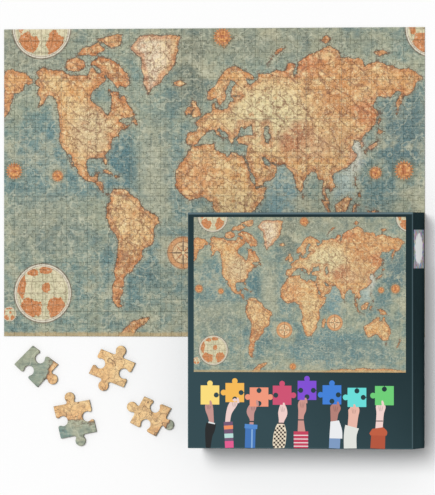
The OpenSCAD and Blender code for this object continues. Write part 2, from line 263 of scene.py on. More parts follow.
     (140.5, -17.5), (136, -15.5), (136.7, -12.2), (132, -11.5), (129.5, -14.9), (126, -14),
     (122.3, -18)],
    [(144.7, -40.9), (148.2, -41), (146.8, -43.5)],
    [(172.8, -34.6), (175.5, -36.8), (178.4, -37.8), (176.9, -40), (175, -41.4), (173.9, -39.3)],
    [(172.8, -40.7), (174.2, -41.7), (171, -45.5), (168.5, -46.6), (166.7, -45.7), (170.5, -43)],
    # Antarctica
    [(-208, -80), (-150, -77), (-100, -73), (-76, -69), (-69, -66.6), (-64, -64), (-57, -61.4),
     (-49, -59.8), (-43, -59.4), (-46, -61.4), (-53, -64), (-57, -66.8), (-50, -69), (-10, -69),
     (40, -67), (60, -65.2), (80, -64), (95, -64.8), (112, -63.6), (130, -64.6), (150, -63.8),
     (170, -65), (190, -66.5), (190, -80)],
]
LAKES = [
    [(49, 46.3), (53, 46.8), (54, 42), (53.8, 37), (50, 37.4), (49.5, 41)],
]


def on_picture(longitude, latitude):
    """Where a place is on the picture, in millimetres from its lower left corner."""
    turn = math.radians(latitude) * 0.4 + math.pi / 4
    stretched = math.degrees(1.25 * math.log(math.tan(turn)))
    across = np.interp(longitude, MERIDIANS, MERIDIAN_AT) * PICTURE_W
    return float(across), EQUATOR * PICTURE_H + DEGREE * stretched


def coast_distance(x, y, outlines):
    """Millimetres from each point to the nearest outline, positive inside one."""
    nearest = np.full(x.shape, 1e9)
    inside = np.zeros(x.shape, bool)
    for outline in outlines:
        for (ax, ay), (bx, by) in zip(outline, outline[1:] + outline[:1]):
            along = ((x - ax) * (bx - ax) + (y - ay) * (by - ay)) / ((bx - ax) ** 2 + (by - ay) ** 2)
            along = np.clip(along, 0, 1)
            gap = (x - ax - along * (bx - ax)) ** 2 + (y - ay - along * (by - ay)) ** 2
            nearest = np.minimum(nearest, gap)
            if ay != by:
                crosses = (ay > y) != (by > y)
                inside ^= crosses & (x < ax + (y - ay) * (bx - ax) / (by - ay))
    return np.sqrt(nearest) * np.where(inside, 1, -1)


CHART_STEP = 2.0
chart_x = np.arange(0, PICTURE_W + CHART_STEP, CHART_STEP)
chart_y = np.arange(0, PICTURE_H + CHART_STEP, CHART_STEP)
outlines = [[on_picture(*place) for place in land] for land in LANDS + LAKES]
chart = coast_distance(*np.meshgrid(chart_x, chart_y), outlines)


def coast_at(x, y):
    """The chart's distance from the coast at points on the picture, in millimetres."""
    column = np.clip(x / CHART_STEP, 0, len(chart_x) - 1.001)
    row = np.clip(y / CHART_STEP, 0, len(chart_y) - 1.001)
    c = column.astype(int)
    r = row.astype(int)
    right = column - c
    up = row - r
    low = chart[r, c] * (1 - right) + chart[r, c + 1] * right
    high = chart[r + 1, c] * (1 - right) + chart[r + 1, c + 1] * right
    return low * (1 - up) + high * up


def lay_picture(mesh, left, low, scale):
    """Gives a mesh the picture, whose lower left corner and size in the frame are given."""
    places = np.zeros(len(mesh.vertices) * 3, np.float32)
    mesh.vertices.foreach_get("co", places)
    places = places.reshape(-1, 3)
    x = (places[:, 0] - left) / scale / MM
    y = (places[:, 1] - low) / scale / MM
    coast = mesh.attributes.new("coast", "FLOAT", "POINT")
    coast.data.foreach_set("value", coast_at(x, y).astype(np.float32))
    corner = np.zeros(len(mesh.loops), np.int32)
    mesh.loops.foreach_get("vertex_index", corner)
    sheet = np.stack([x[corner] / PICTURE_W, y[corner] / PICTURE_H], 1).astype(np.float32)
    mesh.uv_layers.new(name="Picture").data.foreach_set("uv", sheet.ravel())


# ---- The picture: inks ----
# Four-colour print on satin paper: teal and grey-green seas, tan and orange lands with
# brown coast lines, a fine net of meridians, suns, compass roses and hemispheres.
def ink(red, green, blue):
    """A colour given from 0 to 255 as print shops do, for a shader."""
    return (*(((c / 255 + 0.055) / 1.055) ** 2.4 for c in (red, green, blue)), 1)


def calc(tree, operation, *values):
    """One step of arithmetic on outputs and numbers."""
    return node(tree, "Math", enumerate(values), operation=operation).outputs[0]


def vector_calc(tree, operation, *values):
    """One step of arithmetic on vectors."""
    return node(tree, "VectorMath", enumerate(values), operation=operation).outputs[0]


def fade(tree, value, start, end):
    """0 where value is at start, 1 where it is at end, and smooth between."""
    made = node(tree, "MapRange", {0: value, 1: start, 2: end}, interpolation_type="SMOOTHSTEP")
    return made.outputs[0]


def over(tree, share, under, top, how="MIX"):
    """The colour of top laid over under."""
    return node(tree, "Mix", {0: share, 6: under, 7: top}, data_type="RGBA", blend_type=how).outputs[2]


def tint(tree, ground, share, strength, colour):
    """Lays a colour over a ground by share times strength."""
    return over(tree, calc(tree, "MULTIPLY", share, strength), ground, ink(*colour))


def near(tree, value, at, reach, full):
    """1 where value is within full of a number, 0 where it is further off than reach."""
    return fade(tree, calc(tree, "ABSOLUTE", calc(tree, "SUBTRACT", value, at)), reach, full)


def millimetres(tree):
    """Where a point is in the frame, in millimetres."""
    return vector_calc(tree, "MULTIPLY", node(tree, "TexCoord").outputs["Object"], (1000, 1000, 1000))


def offset(tree, place, centre, scale):
    """How far a place is from a centre, scaled along each axis, and the length of that."""
    away = vector_calc(tree, "MULTIPLY", vector_calc(tree, "SUBTRACT", place, centre), scale)
    return away, node(tree, "VectorMath", {0: away}, operation="LENGTH").outputs["Value"]


def mottle(tree, place, size, detail=2.0, rough=0.5):
    """Noise from 0 to 1 with blotches about size across."""
    return node(tree, "TexNoise", {"Vector": place, "Scale": 1 / size, "Detail": detail,
                                   "Roughness": rough}).outputs[0]


# Patches of tone: where on the picture, how far they reach across and up, all in
# millimetres, their colour and their strength.
SEA_PATCHES = [
    (84, 275, 119, 80, (88, 132, 138), 0.75),
    (192, 265, 49, 60, (74, 122, 130), 0.9),
    (252, 260, 35, 110, (176, 176, 150), 0.6),
    (312, 430, 35, 80, (92, 104, 92), 0.8),
    (308, 250, 35, 100, (92, 132, 136), 0.6),
    (462, 235, 42, 65, (112, 152, 158), 0.75),
    (665, 330, 58, 75, (76, 114, 120), 0.9),
    (620, 235, 50, 60, (86, 126, 130), 0.7),
    (596, 385, 30, 30, (140, 156, 142), 0.7),
    (210, 110, 84, 65, (88, 130, 134), 0.65),
    (420, 75, 126, 70, (90, 134, 142), 0.6),
    (70, 180, 84, 60, (158, 160, 136), 0.6),
    (574, 70, 112, 50, (86, 128, 134), 0.6),
    (28, 475, 112, 70, (140, 140, 118), 0.6),
    (430, 478, 240, 40, (152, 150, 122), 0.6),
    (583, 300, 20, 42, (226, 222, 208), 0.95),
    (562, 246, 26, 30, (190, 204, 194), 0.7),
]
LAND_PATCHES = [
    (242, 450, 43, 80, (240, 222, 190), 0.97),
    (440, 356, 84, 60, (230, 217, 166), 0.9),
    (147, 335, 42, 50, (216, 194, 152), 0.75),
    (150, 440, 64, 40, (214, 138, 78), 0.55),
    (190, 395, 30, 40, (222, 150, 86), 0.7),
    (322, 260, 42, 45, (224, 152, 90), 0.7),
    (371, 210, 42, 40, (226, 198, 142), 0.6),
    (489, 442, 60, 30, (206, 112, 60), 0.75),
    (570, 415, 70, 44, (218, 152, 88), 0.8),
    (645, 405, 40, 30, (226, 164, 98), 0.8),
    (548, 372, 46, 34, (214, 150, 90), 0.75),
    (606, 365, 30, 30, (208, 122, 70), 0.7),
    (496, 316, 44, 34, (186, 102, 56), 0.8),
    (520, 309, 33, 22, (224, 180, 130), 0.95),
    (560, 318, 36, 30, (208, 162, 110), 0.7),
    (210, 200, 35, 45, (230, 190, 134), 0.6),
    (203, 90, 35, 70, (204, 136, 84), 0.7),
    (600, 285, 24, 40, (228, 218, 202), 0.85),
    (21, 415, 35, 25, (232, 172, 106), 0.7),
]


def patch_tones(tree, ground, place, rough, patches):
    """Lays soft patches of tone over a colour."""
    for x, y, reach_x, reach_y, tone, strength in patches:
        _, length = offset(tree, place, (x, y, 0), (1 / reach_x, 1 / reach_y, 0))
        ragged = calc(tree, "MULTIPLY_ADD", rough, 1.2, calc(tree, "SUBTRACT", length, 0.6))
        ground = tint(tree, ground, fade(tree, ragged, 1.25, 0.35), strength, tone)
    return ground


def sea_ink(tree, place, coast, patches):
    """The sea: blotched teal and grey-green with pale shoals and fine engraved strokes."""
    rough = mottle(tree, place, 46, 4, 0.6)
    tone = over(tree, fade(tree, rough, 0.36, 0.64), ink(110, 140, 134), ink(156, 163, 138))
    tone = patch_tones(tree, tone, place, rough, patches)
    streak = mottle(tree, vector_calc(tree, "MULTIPLY", place, (0.24, 0.03, 1)), 1, 4, 0.6)
    tone = tint(tree, tone, fade(tree, streak, 0.52, 0.72), 0.32, (60, 88, 90))
    tone = tint(tree, tone, fade(tree, streak, 0.48, 0.3), 0.3, (176, 184, 160))
    stains = mottle(tree, place, 20, 5, 0.7)
    tone = tint(tree, tone, fade(tree, stains, 0.5, 0.66), 0.5, (192, 190, 160))
    tone = tint(tree, tone, fade(tree, stains, 0.46, 0.34), 0.45, (84, 102, 94))
    washes = mottle(tree, vector_calc(tree, "ADD", place, (310, 90, 0)), 70, 5, 0.6)
    tone = tint(tree, tone, fade(tree, washes, 0.53, 0.66), 0.55, (196, 190, 156))
    tone = tint(tree, tone, fade(tree, washes, 0.46, 0.34), 0.55, (72, 110, 114))
    waves = mottle(tree, vector_calc(tree, "MULTIPLY", place, (0.1, 0.36, 1)), 1, 3, 0.7)
    tone = tint(tree, tone, fade(tree, waves, 0.54, 0.64), 0.5, (62, 82, 78))
    tone = tint(tree, tone, fade(tree, waves, 0.45, 0.36), 0.34, (200, 204, 180))
    swirl = near(tree, mottle(tree, place, 64, 3, 0.6), 0.5, 0.016, 0.003)
    tone = tint(tree, tone, swirl, 0.4, (206, 206, 180))
    return tint(tree, tone, fade(tree, coast, -10, -1), 0.35, (188, 188, 158))


def land_ink(tree, place, coast, patches):
    """The land: tan paper, deeper orange towards the coast, ink hills and borders."""
    rough = mottle(tree, place, 34, 4, 0.6)
    tone = over(tree, fade(tree, rough, 0.36, 0.62), ink(228, 168, 98), ink(240, 206, 146))
    tone = patch_tones(tree, tone, place, rough, patches)
    rim_reach = calc(tree, "MULTIPLY_ADD", rough, 22, -3)
    rim = fade(tree, calc(tree, "SUBTRACT", coast, rim_reach), 3, -5)
    tone = tint(tree, tone, rim, 0.6, (208, 124, 62))
    stains = mottle(tree, place, 14, 4, 0.7)
    tone = tint(tree, tone, fade(tree, stains, 0.5, 0.64), 0.6, (254, 228, 170))
    tone = tint(tree, tone, fade(tree, stains, 0.44, 0.32), 0.55, (210, 128, 62))
    hills = mottle(tree, place, 8, 3, 0.7)
    uneven = calc(tree, "MULTIPLY_ADD", fade(tree, rough, 0.4, 0.56), 0.45, 0.12)
    tone = tint(tree, tone, fade(tree, hills, 0.55, 0.65), uneven, (118, 76, 44))
    tone = tint(tree, tone, fade(tree, hills, 0.45, 0.34), 0.5, (254, 238, 190))
    for size, width, strength in ((23, 0.026, 0.5), (12, 0.03, 0.34)):
        flow = mottle(tree, vector_calc(tree, "ADD", place, (size * 40, size * 11, 0)), size, 4, 0.6)
        river = near(tree, flow, 0.5, width, width * 0.3)
        tone = tint(tree, tone, river, strength, (124, 74, 44))
    bend = mottle(tree, place, 15, 3, 0.6)
    bent = vector_calc(tree, "ADD", place, node(tree, "CombineXYZ", {
        0: calc(tree, "MULTIPLY", bend, 30), 1: calc(tree, "MULTIPLY", bend, -24)}).outputs[0])
    border = node(tree, "TexVoronoi", {"Vector": bent, "Scale": 1 / 27},
                  feature="DISTANCE_TO_EDGE").outputs[0]
    drawn = calc(tree, "MULTIPLY", fade(tree, border, 0.05, 0.012), fade(tree, stains, 0.38, 0.5))
    return tint(tree, tone, drawn, 0.6, (128, 70, 40))


def shores(tree, place, coast):
    """The coast distance with the small bays and capes of a hand-drawn line."""
    bays = mottle(tree, place, 17, 6, 0.7)
    return calc(tree, "MULTIPLY_ADD", bays, 15, calc(tree, "SUBTRACT", coast, 7.5))


def map_ink(tree, place, coast, sea_patches=SEA_PATCHES, land_patches=LAND_PATCHES):
    """Sea and land with the brown coast line between them."""
    shore = shores(tree, place, coast)
    sea = sea_ink(tree, place, shore, sea_patches)
    land = land_ink(tree, place, shore, land_patches)
    tone = over(tree, fade(tree, shore, -0.35, 0.35), sea, land)
    line = near(tree, shore, -0.1, 1.2, 0.35)
    tone = tint(tree, tone, line, 0.75, (92, 62, 42))
    capes = calc(tree, "MULTIPLY", fade(tree, mottle(tree, place, 3.6, 2, 0.8), 0.5, 0.6),
                 near(tree, shore, -1.5, 4, 1))
    return tint(tree, tone, capes, 0.7, (84, 62, 44))


def dial(tree, place, x, y, radius):
    """Offset from a centre in radii, the length of that offset and its angle."""
    away, length = offset(tree, place, (x, y, 0), (1 / radius, 1 / radius, 0))
    parts = node(tree, "SeparateXYZ", {0: away})
    return parts, length, calc(tree, "ARCTAN2", parts.outputs[1], parts.outputs[0])


def ring(tree, length, at, width):
    """1 on a thin circle, 0 off it."""
    return near(tree, length, at, width, width * 0.4)


def rays(tree, angle, count):
    """A wave from 0 to 1 that goes round the dial count times."""
    return calc(tree, "PINGPONG", calc(tree, "MULTIPLY", angle, count / math.pi), 1)


def sun_face(tree, tone, place, x, y, radius):
    """A small orange sun with pointed rays round a mottled disc."""
    _, length, angle = dial(tree, place, x, y, radius)
    edge = calc(tree, "MULTIPLY_ADD", rays(tree, angle, 18), 0.25, 0.75)
    tone = tint(tree, tone, fade(tree, length, 1.5, 1.0), 0.4, (122, 118, 84))
    tone = over(tree, fade(tree, calc(tree, "SUBTRACT", length, edge), 0.08, -0.05), tone, ink(206, 136, 76))
    grain = fade(tree, mottle(tree, place, radius / 3, 2, 0.7), 0.4, 0.62)
    disc = over(tree, grain, ink(186, 110, 58), ink(238, 170, 96))
    tone = over(tree, fade(tree, length, 0.78, 0.66), tone, disc)
    tone = tint(tree, tone, ring(tree, length, 0.72, 0.09), 0.5, (130, 78, 50))
    return tint(tree, tone, fade(tree, length, 0.3, 0.12), 0.6, (176, 84, 46))


def compass_rose(tree, tone, place, x, y, radius):
    """A thin four-and-four pointed star on a cream dial with an orange border."""
    _, length, angle = dial(tree, place, x, y, radius)
    tone = tint(tree, tone, fade(tree, length, 1.05, 0.9), 0.9, (224, 158, 98))
    tone = over(tree, fade(tree, length, 0.7, 0.62), tone, ink(236, 200, 150))
    for at, width in ((0.95, 0.04), (0.66, 0.05), (0.4, 0.03)):
        tone = tint(tree, tone, ring(tree, length, at, width), 0.6, (132, 86, 52))
    for turn, reach, colour in ((math.pi / 4, 0.66, ink(204, 122, 70)), (0, 1.0, ink(104, 76, 52))):
        point = rays(tree, calc(tree, "ADD", angle, turn), 4)
        point = calc(tree, "POWER", calc(tree, "SUBTRACT", 1, point), 6)
        edge = calc(tree, "MULTIPLY_ADD", point, reach - 0.1, 0.1)
        star = fade(tree, calc(tree, "SUBTRACT", length, edge), 0.05, -0.05)
        tone = over(tree, calc(tree, "MULTIPLY", star, 0.85), tone, colour)
    return over(tree, fade(tree, length, 0.12, 0.08), tone, ink(238, 214, 164))


# Lands on an inset globe: where and how far they reach, in globe radii.
GLOBE_LANDS = [(-0.74, 0.3, 0.15, 0.45), (0.12, 0.8, 0.24, 0.13), (-0.35, 0.72, 0.2, 0.12),
               (0.12, 0.22, 0.16, 0.16), (-0.42, -0.5, 0.34, 0.32), (0.46, -0.5, 0.28, 0.36)]


def hemisphere(tree, tone, place, x, y, radius):
    """A round inset globe: cream sea, orange lands, a net of lines and a pale rim."""
    parts, length, _ = dial(tree, place, x, y, radius)
    rough = mottle(tree, place, 26, 4, 0.65)
    inner = over(tree, fade(tree, rough, 0.4, 0.6), ink(206, 200, 162), ink(226, 216, 178))
    bays = mottle(tree, place, 15, 4, 0.6)
    for at_x, at_y, reach_x, reach_y in GLOBE_LANDS:
        _, reach = offset(tree, place, (x + at_x * radius, y + at_y * radius, 0),
                          (1 / reach_x / radius, 1 / reach_y / radius, 0))
        land = fade(tree, calc(tree, "MULTIPLY_ADD", bays, 1.8, reach), 2.0, 1.9)
        inner = over(tree, land, inner, ink(208, 130, 70))
    ragged = mottle(tree, place, 5, 3, 0.75)
    inner = tint(tree, inner, fade(tree, ragged, 0.54, 0.68), 0.6, (128, 96, 62))
    inner = tint(tree, inner, fade(tree, ragged, 0.44, 0.34), 0.5, (238, 230, 200))
    bulge = calc(tree, "SQRT", calc(tree, "SUBTRACT", 1.02, calc(tree, "POWER", parts.outputs[1], 2)))
    meridian = calc(tree, "PINGPONG", calc(tree, "DIVIDE", parts.outputs[0], bulge), 0.2)
    parallel = calc(tree, "PINGPONG", parts.outputs[1], 0.2)
    net = fade(tree, calc(tree, "MINIMUM", meridian, parallel), 0.03, 0.01)
    inner = tint(tree, inner, net, 0.4, (110, 88, 62))
    tone = tint(tree, tone, fade(tree, length, 1.05, 0.99), 0.8, (112, 82, 56))
    tone = over(tree, fade(tree, length, 0.995, 0.975), tone, ink(222, 216, 196))
    tone = tint(tree, tone, ring(tree, length, 0.93, 0.014), 0.7, (150, 116, 78))
    return over(tree, fade(tree, length, 0.91, 0.885), tone, inner)


# Where each one stands on the picture and its radius, in millimetres.
HEMISPHERES = [(65, 70, 48), (63, 501, 49), (715, 498, 47), (9, 36, 12)]
ROSES = [(300, 136, 27), (466, 160, 27)]
SUNS = [(17, 269, 14), (90, 261, 10), (365, 486, 15), (666, 269, 16), (619, 265, 11), (328, 18, 12)]
NET_W = PICTURE_W / 12
NET_H = PICTURE_H / 8


def satin(tree, colour, roughness, bump, bump_depth):
    """Ends a paper material: its colour, a soft sheen and its fine surface."""
    shader = tree.nodes["Principled BSDF"]
    tree.links.new(colour, shader.inputs["Base Color"])
    tree.links.new(roughness, shader.inputs["Roughness"])
    relief = node(tree, "Bump", {"Strength": 0.35, "Distance": bump_depth, "Height": bump})
    tree.links.new(relief.outputs[0], shader.inputs["Normal"])
    shader.inputs["Specular IOR Level"].default_value = 0.35


def new_paint(name):
    """An empty material with its node tree."""
    paint = bpy.data.materials.new(name)
    paint.use_nodes = True
    return paint, paint.node_tree


picture_paint, tree = new_paint("printed_picture")
sheet = node(tree, "UVMap", uv_map="Picture")
place = vector_calc(tree, "MULTIPLY", sheet.outputs[0], (PICTURE_W, PICTURE_H, 0))
coast = node(tree, "Attribute", attribute_name="coast").outputs["Fac"]
tone = map_ink(tree, place, coast)
spot = node(tree, "SeparateXYZ", {0: place})
for step, axis in ((NET_W, 0), (NET_H, 1)):
    line = calc(tree, "PINGPONG", calc(tree, "ADD", spot.outputs[axis], step * 0.35), step / 2)
    tone = tint(tree, tone, fade(tree, line, 1.1, 0.3), 0.34, (78, 82, 68))
for spec in SUNS:
    tone = sun_face(tree, tone, place, *spec)
for spec in ROSES:
    tone = compass_rose(tree, tone, place, *spec)
for spec in HEMISPHERES:
    tone = hemisphere(tree, tone, place, *spec)
hem = mottle(tree, place, 4, 2, 0.7)
band = fade(tree, calc(tree, "MULTIPLY_ADD", hem, 8, spot.outputs[1]), 13, 8)
tone = tint(tree, tone, band, 0.7, (192, 164, 112))
foxing = mottle(tree, place, 6.2, 4, 0.85)
tone = tint(tree, tone, fade(tree, foxing, 0.51, 0.6), 0.22, (92, 72, 52))
tone = tint(tree, tone, fade(tree, foxing, 0.46, 0.38), 0.2, (244, 236, 208))
fleck = mottle(tree, place, 1.3, 2, 0.8)
share = calc(tree, "MULTIPLY", fade(tree, fleck, 0.5, 0.75), 0.25)
tone = over(tree, share, tone, ink(84, 70, 50), "MULTIPLY")
linen = node(tree, "TexWave", {"Vector": place, "Scale": 0.3, "Distortion": 1.5, "Detail": 2}).outputs["Fac"]
satin(tree, tone, calc(tree, "MULTIPLY_ADD", fleck, 0.2, 0.38), linen, 0.00012)


# ---- Puzzle board ----
# Grey recycled board, pressed from waste paper. It shows at the cut edges and on the back
# of every piece, and inside the box.
board_paint, tree = new_paint("grey_puzzle_board")
place = millimetres(tree)
plies = mottle(tree, vector_calc(tree, "MULTIPLY", place, (0.4, 0.4, 5)), 1, 3, 0.6)
fibre = mottle(tree, place, 1.6, 3, 0.7)
tone = over(tree, plies, ink(112, 106, 94), ink(162, 154, 138))
tone = tint(tree, tone, fade(tree, fibre, 0.55, 0.75), 0.5, (92, 86, 76))
satin(tree, tone, calc(tree, "MULTIPLY_ADD", fibre, 0.1, 0.8), fibre, 0.0002)


# ---- The finished panel ----
# A thousand pieces, 40 by 25, die-cut from one printed board. Each is its own closed
# shape with a rounded printed edge and one knob or socket on each inner side. They go
# in blocks of 8 by 5, as the sections do that can be lifted out of the panel.
COLUMNS = 40
ROWS = 25
BLOCKS = 5
KNOB = dict(radius=2.3, rise=2.7, fillet=0.9)
KERF = 0.16
EDGE_W = 0.42
EDGE_DROP = 0.3

panel_low = Vector(map(min, zip(*(node_boxes[f"section_{r}_{c}"][0] for r in (1, 5) for c in (1, 5)))))
panel_high = Vector(map(max, zip(*(node_boxes[f"section_{r}_{c}"][1] for r in (1, 5) for c in (1, 5)))))
PIECE_W = (panel_high.x - panel_low.x) / MM / COLUMNS
PIECE_H = (panel_high.y - panel_low.y) / MM / ROWS


def knob(radius, rise, fillet, side, inset, fine):
    """Points of a knob on a cut line that runs along +X; side 1 is a knob, -1 a socket."""
    head = radius - side * inset
    neck = fillet + side * inset
    half = math.sqrt((radius + fillet) ** 2 - (rise - fillet) ** 2)
    slope = math.atan2(rise - fillet, half)
    turn = math.pi / 2 + slope
    left = []
    top = []
    for i in range(fine + 1):
        a = -math.pi / 2 + turn * i / fine
        left.append((-half + neck * math.cos(a), fillet + neck * math.sin(a)))
    for i in range(1, 3 * fine):
        a = math.pi + slope - (math.pi + 2 * slope) * i / (3 * fine)
        top.append((head * math.cos(a), rise + head * math.sin(a)))
    right = [(-x, y) for x, y in reversed(left)]
    return [(x, -side * y) for x, y in left + top + right]


def along_side(start, end, share, side, inset, fine, shape):
    """A side of a piece from its start corner up to its end, knob included."""
    start = Vector(start)
    run = Vector(end) - start
    way = run.normalized()
    if side == 0:
        return [start]
    at = start + run * share
    turned = [at + Vector((way.x * x - way.y * y, way.y * x + way.x * y))
              for x, y in knob(side=side, inset=inset, fine=fine, **shape)]
    return [start] + turned


def across(c, r):
    """Whether the cut on the left of a piece bulges to the right, 1, or to the left, -1."""
    return 1 if (3 * c + 5 * r + c * r // 3) % 2 == 0 else -1


def upward(c, r):
    """Whether the cut below a piece bulges upward, 1, or downward, -1."""
    return 1 if (5 * c + 2 * r + c * r // 4) % 2 == 0 else -1


def panel_piece(c, r):
    """Outline of the piece in column c and row r, counted from the lower left corner."""
    gap = KERF / 2
    left = c * PIECE_W + (gap if c else 0)
    right = (c + 1) * PIECE_W - (gap if c < COLUMNS - 1 else 0)
    low = r * PIECE_H + (gap if r else 0)
    high = (r + 1) * PIECE_H - (gap if r < ROWS - 1 else 0)
    sides = [-upward(c, r) if r else 0,
             across(c + 1, r) if c < COLUMNS - 1 else 0,
             upward(c, r + 1) if r < ROWS - 1 else 0,
             -across(c, r) if c else 0]
    lines = [(c * PIECE_W, r * PIECE_H), ((c + 1) * PIECE_W, r * PIECE_H),
             ((c + 1) * PIECE_W, (r + 1) * PIECE_H), (c * PIECE_W, (r + 1) * PIECE_H)]
    corners = [(left, low), (right, low), (right, high), (left, high)]
    outline = []
    for i, side in enumerate(sides):
        points = along_side(lines[i], lines[(i + 1) % 4], 0.5, side, gap, 2, KNOB)
        outline += [Vector(corners[i])] + points[1:]
    return outline


def picked(geometry, kind):
    """The parts of one kind in what a bmesh operator gives back."""
    return [part for part in geometry if isinstance(part, kind)]


def die_cut(shape, outlines, place, thickness, edge_w, edge_drop):
    """Pieces of board with those outlines: walls, a rounded upper edge and a top.

    Returns the top faces. place turns an outline point in mm into the frame.
    """
    backs = [shape.faces.new([shape.verts.new(place(p)) for p in outline]) for outline in outlines]
    lifted = bmesh.ops.extrude_face_region(shape, geom=backs)["geom"]
    tops = picked(lifted, bmesh.types.BMFace)
    bmesh.ops.translate(shape, verts=picked(lifted, bmesh.types.BMVert),
                        vec=(0, 0, (thickness - edge_drop) * MM))
    old = set(shape.faces)
    bmesh.ops.inset_individual(shape, faces=tops, thickness=edge_w * MM, depth=edge_drop * MM)
    rims = [f for f in shape.faces if f not in old]
    bmesh.ops.recalc_face_normals(shape, faces=shape.faces)
    for face in shape.faces:
        face.material_index = 1
    for face in tops + rims:
        face.material_index = 0
    for face in rims:
        face.smooth = True
    return tops


def cut_along(shape, faces, axis, places):
    """Divides flat faces along straight lines, so that print can vary across them."""
    edges = {e for f in faces for e in f.edges}
    verts = {v for f in faces for v in f.verts}
    geometry = list(faces) + list(edges) + list(verts)
    normal = Vector((0, 0, 0))
    normal[axis] = 1
    for at in places:
        geometry = bmesh.ops.bisect_plane(shape, geom=geometry, dist=1e-7, plane_co=normal * at,
                                          plane_no=normal)["geom"]
    return picked(geometry, bmesh.types.BMFace)


def finished(shape, name, paints):
    """The bmesh as an object with its materials."""
    mesh = bpy.data.meshes.new(name)
    shape.to_mesh(mesh)
    shape.free()
    made = bpy.data.objects.new(name, mesh)
    for paint in paints:
        mesh.materials.append(paint)
    bpy.context.scene.collection.objects.link(made)
    return made


def panel_block(row, column):
    """The pieces of one section, row counted down from the top and column from the left."""
    across_each = COLUMNS // BLOCKS
    up_each = ROWS // BLOCKS
    first_c = (column - 1) * across_each
    first_r = (BLOCKS - row) * up_each
    outlines = [panel_piece(c, r) for c in range(first_c, first_c + across_each)
                for r in range(first_r, first_r + up_each)]
    shape = bmesh.new()
    tops = die_cut(shape, outlines, lambda p: (panel_low.x + p.x * MM, panel_low.y + p.y * MM, 0),
                   (panel_high.z - panel_low.z) / MM, EDGE_W, EDGE_DROP)
    low, high = node_boxes[f"section_{row}_{column}"]
    for axis, step in ((0, PIECE_W / 5), (1, PIECE_H / 5)):
        count = round((high[axis] - low[axis]) / MM / step) + 2
        start = (first_c * PIECE_W, first_r * PIECE_H)[axis] - step / 2
        tops = cut_along(shape, tops, axis,
                         [panel_low[axis] + (start + i * step) * MM for i in range(count)])
    return finished(shape, f"pieces_{row}_{column}", (picture_paint, board_paint))


bodies_of = {n: body for body, nodes in frame["record"]["behaviour"]["bodies"].items() for n in nodes}
for row in range(1, BLOCKS + 1):
    for column in range(1, BLOCKS + 1):
        block = panel_block(row, column)
        lay_picture(block.data, panel_low.x, panel_low.y, 1)
        name = f"section_{row}_{column}"
        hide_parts(name)
        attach(block, bodies_of[name])


# ---- Loose pieces ----
# Four pieces lie on the table in front of the panel, drawn larger than the ones in it.
# Each is thick grey board with the print on top, cut with deep knobs.
LOOSE_KNOB = dict(radius=8.4, rise=9.6, fillet=3)
LOOSE_EDGE_W = 0.9
LOOSE_EDGE_DROP = 0.8
LOOSE_PRINT = 1.7

# Each piece: corners clockwise from the upper left, in mm from its centre; its sides as
# (kind, share), with kind 1 for a knob, -1 for a socket and 0 for the picture's edge;
# and how its land lies: (toward x, toward y, land beyond), or None for land all over.
LOOSE_PIECES = [
    ([(-7.4, 34), (35.3, 3.7), (0.5, -33.6), (-38.3, 3.7)],
     [(-1, 0.42), (1, 0.47), (-1, 0.54), (0, 0.5)], (0.95, -0.32, 22)),
    ([(-18.3, 32.4), (39, 9.8), (19.4, -29.9), (-38.9, -7.4)],
     [(1, 0.52), (-1, 0.54), (1, 0.52), (-1, 0.52)], None),
    ([(-36, 19.8), (24, 30.9), (36.2, -20.9), (-23.4, -32.5)],
     [(1, 0.48), (-1, 0.48), (1, 0.48), (-1, 0.5)], (0.1, 1, -3)),
    ([(-10, 32), (35, 13), (9, -32.5), (-34, -10.5)],
     [(-1, 0.48), (1, 0.48), (-1, 0.49), (1, 0.49)], (-0.75, 0.66, -29)),
]

loose_paint, tree = new_paint("printed_loose_pieces")
place = vector_calc(tree, "MULTIPLY", node(tree, "TexCoord").outputs["Object"],
                    (1000 / LOOSE_PRINT, 1000 / LOOSE_PRINT, 0))
coast = node(tree, "Attribute", attribute_name="coast").outputs["Fac"]
tone = map_ink(tree, place, coast, [], [])
on_land = fade(tree, coast, -1, 3)
tone = tint(tree, tone, on_land, 0.4, (248, 208, 150))
for size, width, strength in ((24, 0.006, 0.8), (12, 0.01, 0.6), (6, 0.014, 0.45)):
    flow = mottle(tree, vector_calc(tree, "ADD", place, (size * 9, size * 5, 0)), size, 2, 0.5)
    contour = near(tree, flow, 0.5, width, width * 0.3)
    share = calc(tree, "MULTIPLY", contour, calc(tree, "MULTIPLY_ADD", on_land, 0.7, 0.3))
    tone = tint(tree, tone, share, strength, (96, 64, 38))
fleck = mottle(tree, place, 1.3, 2, 0.8)
satin(tree, tone, calc(tree, "MULTIPLY_ADD", fleck, 0.2, 0.38), fleck, 0.00012)


def loose_piece(number, corners, sides, land):
    """One loose piece, laid where the CAD piece lies."""
    name = f"loose_piece_{number}"
    outline = []
    for i in (3, 2, 1, 0):
        kind, share = sides[i]
        outline += along_side(corners[(i + 1) % 4], corners[i], 1 - share, kind, 0, 5, LOOSE_KNOB)
    low, high = node_boxes[name]
    centre_x = (low.x + high.x) / 2 - (min(p.x for p in outline) + max(p.x for p in outline)) / 2 * MM
    centre_y = (low.y + high.y) / 2 - (min(p.y for p in outline) + max(p.y for p in outline)) / 2 * MM
    shape = bmesh.new()
    die_cut(shape, [outline], lambda p: (centre_x + p.x * MM, centre_y + p.y * MM, 0), high.z / MM,
            LOOSE_EDGE_W, LOOSE_EDGE_DROP)
    made = finished(shape, f"loose_{number}", (loose_paint, board_paint))
    coast = made.data.attributes.new("coast", "FLOAT", "POINT")
    for vertex in made.data.vertices:
        at = (vertex.co - Vector((centre_x, centre_y, 0))) / MM
        reach = 40 if land is None else at.x * land[0] + at.y * land[1] - land[2]
        coast.data[vertex.index].value = reach / LOOSE_PRINT
    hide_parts(name)
    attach(made, bodies_of[name])


